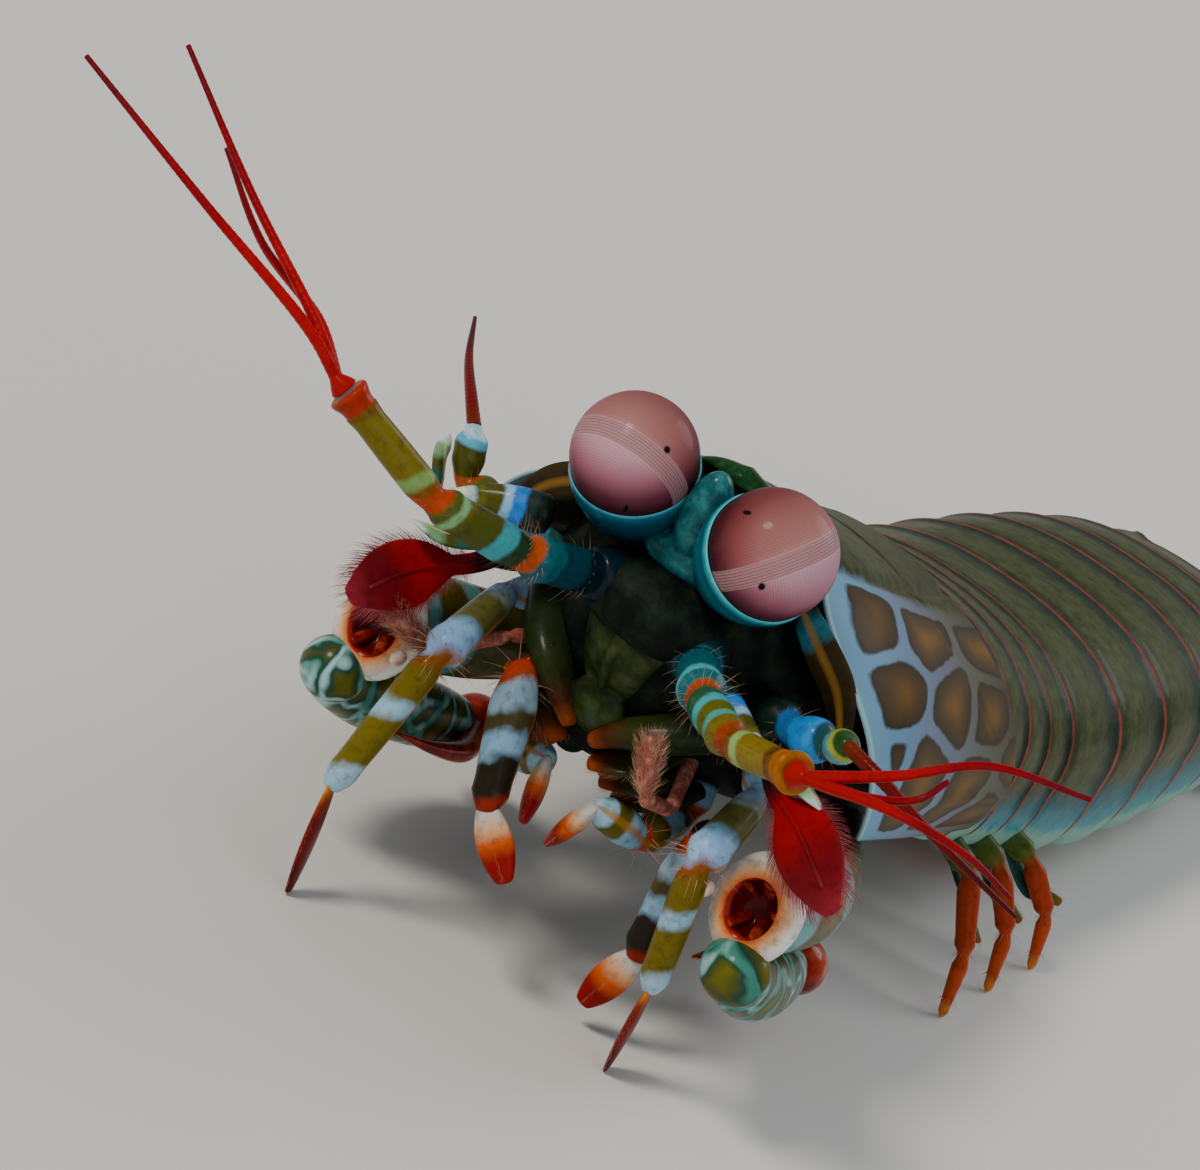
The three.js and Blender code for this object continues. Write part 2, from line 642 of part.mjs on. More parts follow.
function holder(name, index) {
  const [root, elbow, knee, wrist, tip] = HOLDERS[name][index];
  const arm = limb([root, elbow, knee, wrist], [1.9, 1.9, 2.1, 1.8], [1.8, 1.8, 2.0, 1.8], vec(1, 0.2, 0));
  const round = (t) => Math.sin(Math.PI * mix(0.16, 0.8, t)) ** 0.8;
  const disc = rod(
    [wrist, wrist.clone().lerp(tip, 0.5), tip],
    (t) => [1.5 * round(t), 0.55 * round(t) + 0.12],
    { rings: 4, sides: 7, face: vec(1, 0.2, 0) },
  );
  return join([arm, disc]);
}

// Walking legs on the last three chest somites
function leg(side, index) {
  const y = 42.6 + 5.9 * index;
  const [height, halfWidth, , , belly] = trunk(y);
  const hip = vec(side * halfWidth * 0.6, y, height - belly * 0.55);
  const knee = vec(side * (halfWidth + 1.6), y + 1.4 * (index - 1), height - belly * 0.9);
  const ankle = vec(side * (halfWidth + 4.4), y + 2.6 * (index - 1), 4.2);
  const foot = vec(side * (halfWidth + 5.4), y + 3.2 * (index - 1), -0.3);
  const lobe = rod(
    [hip.clone().lerp(knee, 0.6), knee.clone().add(vec(side * 0.6, 1, -2)), ankle.clone().add(vec(0, 1.6, 0.8))],
    (t) => [mix(0.7, 0.4, t), 0.3],
    { rings: 2, sides: 5, face: vec(1, 0, 0) },
  );
  const shank = limb([hip, knee, ankle, foot], [2.0, 1.8, 1.4, 1.0], [1.8, 1.6, 1.2, 1.0]);
  return join([shank, lobe]);
}

// Swimming legs under the first five tail somites: a root and two leaves
const TAIL_START = 56;
const TAIL_STEP = 12;

function swimmer(side, index) {
  const y = TAIL_START + TAIL_STEP * index + 1.6;
  const [height, halfWidth, , , belly] = trunk(y);
  const root = vec(side * halfWidth * 0.42, y, height - belly * 0.72);
  const size = (t) => [mix(0.9, 2.4, Math.sin(Math.PI * mix(0.05, 0.85, t))), 0.4];
  const leaf = (spread, vanes) => {
    const tip = vec(root.x + side * spread, y + 8, 1.2);
    const points = [root, vec(root.x + side * spread * 0.5, y + 4, root.z * 0.55), tip];
    return [
      rod(points, size, { rings: 3, sides: 6 }),
      ...fringe(points, size, { count: vanes, length: 1.3, start: 0.7 }),
    ];
  };
  return join([...leaf(2.6, 3), ...leaf(-1.4, 2)]);
}

// Tail fan

const TELSON_LEAN = 0.07; // like the somite in front of it

function telson(grow = 0) {
  // y, height of the side line, half width, rise, depth
  const rows = [
    [128 + GAP / 2, 8.9, 10.6, 5.6, 3.2],
    [131.5, 7.9, 12.0, 5.4, 2.6],
    [136, 6.4, 12.3, 4.8, 2.0],
    [140.5, 4.9, 11.0, 3.6, 1.5],
    [144, 3.8, 8.4, 2.5, 1.1],
    [146.5, 3.0, 5.0, 1.4, 0.8],
  ];
  const plate = loft(rows.map(([y, height, halfWidth, rise, depth]) => (
    Array.from({ length: 16 }, (_, i) => {
      const angle = (2 * Math.PI * i) / 16;
      const lift = ((Math.sin(angle) > 0 ? rise : depth) + grow) * Math.sin(angle);
      return vec((halfWidth + grow) * Math.cos(angle), y + TELSON_LEAN * lift, height + lift);
    })
  )));
  if (grow) return plate;
  const spikes = [
    [2.6, 144.6, 3.2, 3.2, 151.2, 1.9, 1.3],
    [7.2, 142.6, 3.9, 8.2, 148.6, 2.0, 1.2],
    [10.8, 138.4, 4.9, 12.4, 144.6, 2.9, 1.1],
  ].flatMap(([x, y, z, tipX, tipY, tipZ, radius]) => [1, -1].map((side) => rod(
    [vec(side * x, y, z), vec(side * tipX, tipY, tipZ)],
    (t) => [radius * (1 - 0.75 * t), 0.75 * radius * (1 - 0.6 * t)],
    { rings: 1, sides: 6 },
  )));
  const keels = [
    [0, 130.5, 13.1, 0, 144.6, 5.2],
    [4.0, 131.5, 12.0, 2.6, 143.6, 5.6],
    [-4.0, 131.5, 12.0, -2.6, 143.6, 5.6],
    [7.8, 132.2, 10.0, 6.0, 141.4, 5.9],
    [-7.8, 132.2, 10.0, -6.0, 141.4, 5.9],
  ].map(([x, y, z, endX, endY, endZ]) => rod(
    [vec(x, y, z), vec((x + endX) / 2, (y + endY) / 2, (z + endZ) / 2 + 0.9), vec(endX, endY, endZ)],
    (t) => [mix(0.75, 0.5, t), 0.8],
    { rings: 2, sides: 5 },
  ));
  return join([plate, ...keels, ...spikes]);
}

// Short points along the hind edge of the last somite
function hindPoints(y) {
  const [height, halfWidth, rise] = trunk(y);
  return [18, 42, 66, 114, 138, 162].map((degrees) => {
    const angle = THREE.MathUtils.degToRad(degrees);
    const at = (share, back) => vec(
      share * halfWidth * Math.cos(angle),
      y + back,
      height + share * rise * Math.sin(angle),
    );
    return blade(at(0.93, -1.6), at(1.03, 0.9), 0.7, 0.55);
  });
}

function uropod(side) {
  const place = (x, y, z) => vec(side * x, y, z);
  const stem = rod(
    [place(9.2, 124.5, 4.9), place(12.6, 129.2, 3.3), place(14.2, 133.6, 1.8)],
    () => [1.9, 1.5],
    { rings: 2, sides: 7 },
  );
  const fork = rod(
    [place(13.2, 131.5, 2.2), place(14.2, 137, 1.7), place(14.0, 143.5, 1.4)],
    (t) => [mix(1.3, 0.35, t), mix(0.9, 0.3, t)],
    { rings: 2, sides: 5 },
  );
  const paddle = (points, root, full, vanes) => {
    const size = (t) => [mix(root, full, Math.sin(Math.PI * mix(0.05, 0.84, t))), 0.5];
    return [
      rod(points, size, { rings: 5, sides: 6 }),
      ...fringe(points, size, { count: vanes, length: 1.7, start: 0.58 }),
    ];
  };
  const outerPath = [place(14.6, 132.6, 1.2), place(18.2, 139.5, 0.5), place(20.0, 148.4, 0.4)];
  const outer = paddle(outerPath, 1.2, 3.1, 7);
  const inner = paddle([place(13.8, 133, 1.0), place(14.4, 139.5, 0.4), place(14.6, 146.4, 0.4)], 1.0, 2.0, 5);
  const spines = Array.from({ length: 6 }, (_, i) => {
    const t = i / 5;
    const root = place(mix(15.6, 20.4, t), mix(134.6, 140.8, t), mix(1.1, 0.6, t));
    return blade(root, root.clone().add(place(mix(1.7, 2.1, t), mix(1.3, 2.9, t), 0.3)), 0.45, 0.35);
  });
  return join([stem, fork, ...outer, ...inner, ...spines]);
}

// The animal

const COLOURS = {
  shell: ['#5f6b2c', 0.35],
  shield: ['#7b6a2c', 0.3],
  teal: ['#0f6f7c', 0.3],
  rostrum: ['#1f5a34', 0.35],
  cornea: ['#b07a80', 0.15],
  olive: ['#6f7a22', 0.35],
  red: ['#c0141a', 0.4],
  banded: ['#8fb4c8', 0.35],
  orange: ['#d8642a', 0.4],
  flesh: ['#4a4a38', 0.5],
  pink: ['#d9a08e', 0.5],
};

const animal = new THREE.Group();

function place(name, body, colourName) {
  const mesh = body.getMesh();
  const geometry = new THREE.BufferGeometry();
  geometry.setAttribute('position', new THREE.BufferAttribute(new Float32Array(mesh.vertProperties), 3));
  geometry.setIndex(new THREE.BufferAttribute(new Uint32Array(mesh.triVerts), 1));
  const [colour, roughness] = COLOURS[colourName];
  const material = new THREE.MeshStandardMaterial({ color: colour, roughness, metalness: 0 });
  const piece = new THREE.Mesh(geometry, material);
  piece.name = name;
  animal.add(piece);
}

const coreSpace = coreBody(GAP);
const names = Object.keys(SIDES);
place('cephalothorax', coreBody(), 'flesh');
place('carapace', largest(cut(carapaceBody(), [coreSpace])), 'shield');
place('rostral_plate', rostralPlate(), 'rostrum');
place('ophthalmic_somite', largest(cut(eyeBase(), [coreSpace])), 'teal');
place('mouth', largest(cut(mouth(), [coreSpace])), 'flesh');

names.forEach((name) => {
  const fit = (body, neighbours = []) => largest(cut(body, [coreSpace, floor, ...neighbours]));
  place(`eye_stalk_${name}`, fit(eyeStalk(name)), 'teal');
  place(`cornea_${name}`, cornea(name), 'cornea');
  place(`antennule_${name}`, fit(antennule(name)), 'olive');
  place(`antennule_whips_${name}`, whips(name), 'red');
  place(`antenna_${name}`, fit(antenna(name)), 'banded');
  place(`antennal_scale_${name}`, fit(antennalScale(name), [antenna(name, GAP)]), 'red');
  place(`maxilliped_1_${name}`, fit(cleaner(name)), 'pink');
  place(`claw_merus_${name}`, fit(merus(name)), 'olive');
  place(`claw_hand_${name}`, fit(hand(name), [merus(name, GAP)]), 'olive');
  place(`claw_hammer_${name}`, fit(hammer(name), [hand(name, GAP)]), 'red');
  [3, 4, 5].forEach((number, index) => {
    place(`maxilliped_${number}_${name}`, fit(holder(name, index)), 'banded');
  });
});

const SOMITES = [[38, 44], [44, 50], [50, 56]];
for (let index = 0; index < 6; index += 1) {
  const front = TAIL_START + TAIL_STEP * index;
  SOMITES.push([front, front + TAIL_STEP]);
}
const somiteSpaces = SOMITES.map(([front, back]) => somite(front, back, GAP));
const clearOfTrunk = (body) => largest(cut(body, [...somiteSpaces, floor]));
SOMITES.forEach(([front, back], index) => {
  const name = index < 3 ? `thorax_${index + 6}` : `abdomen_${index - 2}`;
  const points = index === SOMITES.length - 1 ? hindPoints(back - GAP / 2) : [];
  place(name, join([somite(front, back), ...points]), 'shell');
});
const hindSpace = join(hindPoints(SOMITES.at(-1)[1] - GAP / 2));
place('telson', largest(cut(telson(), [hindSpace])), 'shell');
names.forEach((name) => {
  const side = SIDES[name];
  for (let index = 0; index < 3; index += 1) {
    place(`walking_leg_${index + 1}_${name}`, clearOfTrunk(leg(side, index)), 'orange');
  }
  for (let index = 0; index < 5; index += 1) {
    place(`pleopod_${index + 1}_${name}`, clearOfTrunk(swimmer(side, index)), 'orange');
  }
  place(`uropod_${name}`, clearOfTrunk(cut(uropod(side), [telson(GAP)])), 'teal');
});

const outline = new THREE.Box3().setFromObject(animal);
animal.position.set(
  -(outline.min.x + outline.max.x) / 2,
  -(outline.min.y + outline.max.y) / 2,
  -outline.min.z,
);
animal.updateMatrixWorld(true);

export default animal;
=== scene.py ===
"""Peacock mantis shrimp, life size: its shells, eyes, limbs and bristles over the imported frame.

Sizes are millimetres in the pose's own axes: x = 0 is the middle plane, y = 0 the centre of the
eyes and z = 0 the floor. The head faces -Y, and +X is the animal's left side.
"""

from __future__ import annotations

import json
import logging
import math
from abc import ABC, abstractmethod
from collections.abc import Mapping, Sequence
from dataclasses import dataclass, field
from enum import Enum
from functools import partial
from typing import Any, ClassVar, TypeVar

import bmesh
import bpy
import numpy as np
from mathutils import Matrix, Vector

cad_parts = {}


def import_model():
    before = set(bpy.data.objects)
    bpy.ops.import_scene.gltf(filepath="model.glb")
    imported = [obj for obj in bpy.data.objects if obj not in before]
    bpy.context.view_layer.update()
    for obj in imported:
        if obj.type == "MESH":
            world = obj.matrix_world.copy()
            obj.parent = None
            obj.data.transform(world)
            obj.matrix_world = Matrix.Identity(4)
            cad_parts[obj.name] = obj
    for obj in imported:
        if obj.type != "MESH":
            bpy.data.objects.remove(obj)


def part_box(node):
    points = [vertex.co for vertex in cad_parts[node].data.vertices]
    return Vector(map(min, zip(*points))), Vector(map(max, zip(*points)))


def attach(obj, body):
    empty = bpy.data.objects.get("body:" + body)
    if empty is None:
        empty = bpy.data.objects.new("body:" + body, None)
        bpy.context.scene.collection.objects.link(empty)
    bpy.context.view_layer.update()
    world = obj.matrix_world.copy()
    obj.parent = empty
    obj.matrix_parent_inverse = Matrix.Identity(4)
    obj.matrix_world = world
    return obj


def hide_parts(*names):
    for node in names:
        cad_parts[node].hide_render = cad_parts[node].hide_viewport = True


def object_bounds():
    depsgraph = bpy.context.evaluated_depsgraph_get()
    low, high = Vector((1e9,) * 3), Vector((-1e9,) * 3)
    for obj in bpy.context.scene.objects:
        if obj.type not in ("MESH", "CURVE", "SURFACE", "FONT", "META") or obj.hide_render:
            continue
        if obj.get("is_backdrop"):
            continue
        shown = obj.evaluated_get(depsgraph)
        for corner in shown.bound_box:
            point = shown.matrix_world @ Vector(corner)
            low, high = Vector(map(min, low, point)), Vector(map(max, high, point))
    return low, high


T = TypeVar("T")
Pair = tuple[T, T]  # for the left side and for the right
Array = np.ndarray
Tuft = tuple[Array, Array, Array, Array]  # roots, directions, bends and lengths of bristles
Point = tuple[float, float, float]
Stops = Sequence[tuple[float, str]]
Tree = bpy.types.NodeTree
Socket = bpy.types.NodeSocket
Feeds = Mapping[int | str, Any] | Sequence[Any]

MM = 0.001
GAP = 0.3  # between neighbouring solids of the frame
ROOTED = 0.06  # how deep bristles root under the shell
NODE_FAMILIES = ("ShaderNode", "GeometryNode", "FunctionNode", "Node")
BRISTLE_SEED = 7
LOG = logging.getLogger("mantis_shrimp")


class Side(Enum):
    """The animal's two sides, with the sign of their x."""

    LEFT = 1
    RIGHT = -1

    def __str__(self) -> str:
        """The side's name as nodes and pieces have it."""
        return self.name.lower()

    def of(self, pair: Pair[T]) -> T:
        """This side's own of a pair."""
        return pair[self is Side.RIGHT]

    def mirror(self, points: Sequence[Point]) -> list[Point]:
        """Points given for the left side, moved to this side."""
        return [(self.value * x, y, z) for x, y, z in points]


class Slot(Enum):
    """Material slots of the finishes."""

    BODY = "body_shell"
    CARAPACE = "carapace_shell"
    CORNEA = "cornea"
    CUP = "eye_cup"
    ROSTRUM = "rostral_plate"
    SKIN = "head_skin"
    LIMB = "banded_limb"
    FEELER = "feeler"
    WHIP = "whip"
    SCALE = "scale_blade"
    CLAW = "claw_shell"
    HAMMER = "hammer"
    WALKING = "walking_leg"
    SWIMMING = "swimming_leg"
    FAN = "tail_fan"


# Small mathematics


def unit(vectors: Array) -> Array:
    """Scale vectors to length one."""
    return vectors / np.linalg.norm(vectors, axis=-1, keepdims=True)


def mix(start: Any, end: Any, share: Any) -> Any:
    """Go from start to end by a share of the way."""
    return start + (end - start) * share


def soft_step(value: Array) -> Array:
    """Rise smoothly from 0 at 0 to 1 at 1."""
    share = np.clip(value, 0.0, 1.0)
    return share * share * (3.0 - 2.0 * share)


def bell(value: Array, width: float) -> Array:
    """A smooth bump of height one round zero."""
    return np.exp(-((value / width) ** 2))


def taper(start: float, end: float, count: int, power: float = 1.0) -> Array:
    """Sizes from start to end over some samples, changing late where power is above one."""
    return mix(start, end, np.linspace(0, 1, count) ** power)


def hermite(t: Array, start: Array, leave: Array, end: Array, arrive: Array) -> Array:
    """Go along a cubic curve from start to end, given the slopes at both."""
    return (
        (2 * t**3 - 3 * t**2 + 1) * start
        + (t**3 - 2 * t**2 + t) * leave
        + (3 * t**2 - 2 * t**3) * end
        + (t**3 - t**2) * arrive
    )


def smooth_path(corners: Sequence[Any] | Array, count: int) -> Array:
    """Run a smooth curve through some points.

    Args:
        corners: Points that the curve passes through.
        count: Number of samples.

    Returns:
        The samples of a centripetal Catmull-Rom curve.
    """
    points = np.array(corners, dtype=float)
    points = np.vstack([2 * points[0] - points[1], points, 2 * points[-1] - points[-2]])
    knots = np.linalg.norm(np.diff(points, axis=0), axis=1) ** 0.5
    place = np.linspace(0, len(points) - 3, count)
    index = np.minimum(place.astype(int), len(points) - 4)
    before, here, after = (knots[index + k][:, None] for k in range(3))
    p0, p1, p2, p3 = (points[index + k] for k in range(4))
    leave = ((p1 - p0) / before - (p2 - p0) / (before + here) + (p2 - p1) / here) * here
    arrive = ((p2 - p1) / here - (p3 - p1) / (here + after) + (p3 - p2) / after) * here
    return hermite((place - index)[:, None], p1, leave, p2, arrive)


class Stations:
    """Sizes along y as smooth curves; the first number of each row is its y."""

    def __init__(self, rows: Sequence[Sequence[float]]) -> None:
        """Keep the rows and work out their slopes.

        Args:
            rows: One row for each station, in order of y.
        """
        table = np.array(rows, dtype=float)
        self.places = table[:, 0]
        self.values = table[:, 1:]
        slopes = np.diff(self.values, axis=0) / np.diff(self.places)[:, None]
        self.slopes = np.vstack([slopes[:1], (slopes[:-1] + slopes[1:]) / 2, slopes[-1:]])

    def spread(self, count: int) -> Array:
        """Even places from the first station to the last."""
        return np.linspace(self.places[0], self.places[-1], count)

    def at(self, place: float | Array) -> Array:
        """Read all the sizes at one y or at many.

        Args:
            place: One y or an array of them.

        Returns:
            The sizes, on the last axis.
        """
        low = np.clip(np.searchsorted(self.places, place) - 1, 0, len(self.places) - 2)
        high = low + 1
        step = (self.places[high] - self.places[low])[..., None]
        share = (np.asarray(place) - self.places[low])[..., None] / step
        leave, arrive = step * self.slopes[low], step * self.slopes[high]
        return hermite(share, self.values[low], leave, self.values[high], arrive)


# Shapes


DOME_STEPS = (0.55, 1.05)  # radians round a rounded end at which it has a ring
DOME_MARK = 0.08  # how far the value along runs on from ring to ring there


@dataclass
class Shape:
    """A closed surface in the pose's millimetres, with values at its points for the finishes."""

    points: Array
    faces: list[tuple[int, ...]]
    values: dict[str, Array] = field(default_factory=dict)

    @classmethod
    def from_rings(
        cls,
        rings: Array,
        along: Array,
        domes: tuple[float, float] = (0.5, 0.5),
        extra: Mapping[str, Array] | None = None,
    ) -> Shape:
        """Skin a row of rings and close both ends.

        Args:
            rings: Points as ring, place in the ring, axis.
            along: The value called along, one for each ring.
            domes: How far each end bulges, as a share of its radius; a negative one is a dish.
            extra: Further values, one for each point of each ring.

        Returns:
            The closed shape. Its value called ring is the cosine and sine round each ring.
        """
        layers = [ring for ring in np.asarray(rings, dtype=float)]
        marks = list(np.asarray(along, dtype=float))
        rows = {key: list(value) for key, value in (extra or {}).items()}
        poles: list[Array] = []
        for end, depth in zip((0, -1), domes):
            inner = 1 if end == 0 else -2
            edge = layers[end]
            centre = edge.mean(axis=0)
            out = unit(centre - layers[inner].mean(axis=0))
            reach = depth * np.linalg.norm(edge - centre, axis=1).mean()
            sign = -1 if end == 0 else 1
            poles.append(centre + reach * out)
            for turn in DOME_STEPS:
                ring = centre + (edge - centre) * math.cos(turn) + reach * math.sin(turn) * out
                spot = 0 if end == 0 else len(layers)
                layers.insert(spot, ring)
                marks.insert(spot, marks[end] + sign * DOME_MARK)
                for row in rows.values():
                    row.insert(spot, row[end])
        count, size = len(layers), len(layers[0])
        points = np.vstack([np.concatenate(layers), poles[0], poles[1]])
        steps, places = np.meshgrid(np.arange(count - 1), np.arange(size), indexing="ij")
        following = (places + 1) % size
        quads = np.stack(
            [
                steps * size + places, steps * size + following, (steps + 1) * size + following,
                (steps + 1) * size + places,
            ],
            axis=-1,
        ).reshape(-1, 4)
        first, last = count * size, count * size + 1
        ends = [(first, (j + 1) % size, j) for j in range(size)]
        base = (count - 1) * size
        ends += [(last, base + j, base + (j + 1) % size) for j in range(size)]
        angle = np.linspace(0, 2 * np.pi, size, endpoint=False)
        circle = np.stack([np.cos(angle), np.sin(angle), np.zeros(size)], axis=-1)
        values = {
            "along": np.append(np.repeat(marks, size), [marks[0], marks[-1]]),
            "ring": np.vstack([np.tile(circle, (count, 1)), np.zeros((2, 3))]),
        }
        for key, row in rows.items():
            flat = np.concatenate(row)
            values[key] = np.append(flat, [np.mean(row[0]), np.mean(row[-1])])
        return cls(points, [tuple(quad) for quad in quads.tolist()] + ends, values)

    def ranged(self, start: float, end: float) -> Shape:
        """Fit its value along between two numbers, and return it."""
        self.values["along"] = mix(start, end, self.values["along"])
        return self

    @classmethod
    def joined(cls, shapes: Sequence[Shape]) -> Shape:
        """Put shapes side by side in one.

        Args:
            shapes: The shapes; a value that one of them lacks is zero there.

        Returns:
            One shape that holds them all.
        """
        starts = np.cumsum([0] + [len(shape.points) for shape in shapes])
        faces = [
            tuple(int(start) + corner for corner in face)
            for shape, start in zip(shapes, starts)
            for face in shape.faces
        ]
        values = {}
        for key in sorted({key for shape in shapes for key in shape.values}):
            model = next(shape.values[key] for shape in shapes if key in shape.values)
            blank = model.shape[1:]
            values[key] = np.concatenate(
                [shape.values.get(key, np.zeros((len(shape.points), *blank))) for shape in shapes]
            )
        return cls(np.vstack([shape.points for shape in shapes]), faces, values)


@dataclass
class Sweep:
    """A rod along a path: half widths lie square to the path and to the direction called face."""

    path: Array | Sequence[Point]  # its points, or fewer corners that it bends through
    widths: Array
    depths: Array | float
    face: Point = (0.0, 0.0, 1.0)
    marks: Array | None = None  # the value along of each sample

    def __post_init__(self) -> None:
        """Run the path through its corners and work out the directions at each sample."""
        if len(self.path) != len(self.widths):
            self.path = smooth_path(self.path, len(self.widths))
        self.depths = np.broadcast_to(self.depths, self.widths.shape)
        self.ahead = unit(np.gradient(self.path, axis=0))
        self.side = unit(np.cross(self.ahead, np.array(self.face)))
        self.deep = np.cross(self.side, self.ahead)
        if self.marks is None:
            self.marks = np.linspace(0, 1, len(self.path))

    def shape(self, sides: int = 16, domes: tuple[float, float] = (0.5, 0.5)) -> Shape:
        """Skin the rod.

        Args:
            sides: Points in each ring.
            domes: How far the ends bulge, as Shape.from_rings has it.

        Returns:
            The rod's closed surface.
        """
        angle = np.linspace(0, 2 * np.pi, sides, endpoint=False)[None, :, None]
        rings = (
            self.path[:, None]
            + np.cos(angle) * (self.widths[:, None] * self.side)[:, None]
            + np.sin(angle) * (self.depths[:, None] * self.deep)[:, None]
        )
        return Shape.from_rings(rings, self.marks, domes)

    def read(self, table: Array, share: Array) -> Array:
        """Read a table of the samples at shares of the way along."""
        place = np.clip(share, 0, 1) * (len(self.path) - 1)
        low = np.minimum(place.astype(int), len(self.path) - 2)
        part = place - low
        if table.ndim > 1:
            part = part[:, None]
        return mix(table[low], table[low + 1], part)

    def skin(self, share: Array, angle: Array) -> tuple[Array, Array, Array]:
        """Find points just under the rod's surface, where bristles root.

        Args:
            share: How far along each point is, from 0 to 1.
            angle: How far round, in radians.

        Returns:
            The points, their outward directions and the rod's directions there.
        """
        side, deep = self.read(self.side, share), self.read(self.deep, share)
        width = self.read(self.widths, share)[:, None] - ROOTED
        depth = self.read(self.depths, share)[:, None] - ROOTED
        turn = angle[:, None]
        place = self.read(self.path, share)
        place = place + np.cos(turn) * width * side + np.sin(turn) * depth * deep
        return place, np.cos(turn) * side + np.sin(turn) * deep, self.read(self.ahead, share)


@dataclass(frozen=True)
class Limb:
    """A jointed limb: each stretch swells, narrows at its joints and ends in a low rim."""

    joints: tuple[Point, ...]
    widths: tuple[float, ...]
    depths: tuple[float, ...]
    face: Point = (0.0, 0.0, 1.0)
    neck: float = 0.64  # size at a joint, as a share of the limb's own
    rim: float = 0.09  # how far the far end of a stretch flares
    after: tuple[float, ...] = ()  # share of a joint's size with which the next stretch starts
    samples: int = 18  # for each stretch

    def sweep(self) -> Sweep:
        """Lay out the limb's path and sizes.

        Returns:
            The limb as a rod whose marks count its joints.
        """
        joints = np.array(self.joints)
        last = len(joints) - 1
        marks = np.linspace(0, last, last * self.samples + 1)
        index = np.minimum(marks.astype(int), last - 1)
        share = marks - index
        path = mix(joints[index], joints[index + 1], share[:, None])
        for _ in range(4):
            path[1:-1] = (path[:-2] + 2 * path[1:-1] + path[2:]) / 4
        lengths = np.linalg.norm(np.diff(joints, axis=0), axis=1)[index]
        widths, depths = np.array(self.widths), np.array(self.depths)
        begins = np.array(self.after or (1.0,) * last)[index]
        width = mix(widths[index] * begins, widths[index + 1], share)
        near, far = share * lengths, (1 - share) * lengths
        start = np.where(index == 0, 1.0, soft_step(near / (0.7 * width)))
        end = soft_step(far / (0.42 * width))
        full = mix(self.neck, 1.0, np.minimum(start, end))
        full = full + self.rim * bell(far - 0.5 * width, 0.2 * width)
        full = full + 0.05 * np.sin(np.pi * share)
        depth = mix(depths[index] * begins, depths[index + 1], share)
        return Sweep(path, 0.5 * width * full, 0.5 * depth * full, self.face, marks)


def placed(rings: Array, along: Array | Point, place: Array | Point) -> Array:
    """Turn rings whose axis is z until it lies along a direction, and set them at a place."""
    turn = Vector((0, 0, 1)).rotation_difference(Vector(along)).to_matrix()
    return rings @ np.array(turn).T + np.array(place)


def egg(centre: Array | Point, along: Point, radii: Point, rows: int = 20, sides: int = 28) -> Shape:
    """A ball stretched along three directions.

    Args:
        centre: Its middle.
        along: The direction of its third radius.
        radii: Its radii.
        rows: Rings from pole to pole.
        sides: Points in each ring.

    Returns:
        The closed surface, its value along running from pole to pole.
    """
    tilt = np.linspace(0, np.pi, rows + 2)[1:-1, None]
    angle = np.linspace(0, 2 * np.pi, sides, endpoint=False)
    ball = np.stack(
        [
            radii[0] * np.sin(tilt) * np.cos(angle), radii[1] * np.sin(tilt) * np.sin(angle),
            -radii[2] * np.cos(tilt) * np.ones(sides),
        ],
        axis=-1,
    )
    return Shape.from_rings(placed(ball, along, centre), np.linspace(0, 1, rows), (0.1, 0.1))


def turned(
    corners: Sequence[tuple[float, float]], place: Array, along: Array, rows: int, sides: int
) -> Shape:
    """A turned body, its axis along z from the origin, set at a place along a direction.

    Args:
        corners: Radius and height of the points that its profile bends through.
        place: Where the origin goes.
        along: Where the axis points.
        rows: Rings over the profile.
        sides: Points in each ring.

    Returns:
        The closed surface, its value along running over the profile.
    """
    profile = smooth_path(corners, rows)
    angle = np.linspace(0, 2 * np.pi, sides, endpoint=False)
    x, y = profile[:, :1] * np.cos(angle), profile[:, :1] * np.sin(angle)
    rings = np.stack([x, y, np.repeat(profile[:, 1:], sides, axis=1)], axis=-1)
    return Shape.from_rings(placed(rings, along, place), np.linspace(0, 1, rows), (0.0, 0.0))


# Finishes


def linear(colour: str) -> tuple[float, float, float, float]:
    """Turn an sRGB hex colour into linear light.

    Args:
        colour: The colour as #rrggbb.

    Returns:
        Red, green, blue and an alpha of one.
    """
    parts = [int(colour[k : k + 2], 16) / 255 for k in (1, 3, 5)]
    light = [p / 12.92 if p <= 0.04045 else ((p + 0.055) / 1.055) ** 2.4 for p in parts]
    return (light[0], light[1], light[2], 1.0)


def per(size: float) -> float:
    """The texture scale at which a pattern's step is this many millimetres."""
    return 1.0 / (size * MM)


def add_node(
    tree: Tree, kind: str, feeds: Feeds = (), stops: Stops = (), out: str = "", **settings: Any
) -> Socket | None:
    """Add a node with its settings, links and constants.

    A noise takes its place, nothing, scale, detail and roughness in this order. A range takes
    its value, the two ends that it comes from and the two that it goes to.

    Args:
        tree: The tree that gets the node.
        kind: Blender's name for the kind of node, without the family in front.
        feeds: For each input, in order or by key, the socket that feeds it, its constant or a
            hex colour. None leaves an input as it is.
        stops: Places and hex colours of a colour ramp, in order.
        out: The output that is wanted, where it isn't the first one in use.
        **settings: Properties of the node.

    Returns:
        That output, if the node has any.
    """
    family = next(family for family in NODE_FAMILIES if hasattr(bpy.types, family + kind))
    made = tree.nodes.new(family + kind)
    for key, value in settings.items():
        setattr(made, key, value)
    for key, value in feeds.items() if isinstance(feeds, Mapping) else enumerate(feeds):
        if isinstance(value, Socket):
            tree.links.new(value, made.inputs[key])
        elif value is not None:
            made.inputs[key].default_value = linear(value) if str(value)[:1] == "#" else value
    if stops:
        elements = made.color_ramp.elements
        elements.remove(elements[1])
        elements[0].position, elements[0].color = stops[0][0], linear(stops[0][1])
        for place, colour in stops[1:]:
            elements.new(place).color = linear(colour)
    return made.outputs[out] if out else next((o for o in made.outputs if o.enabled), None)


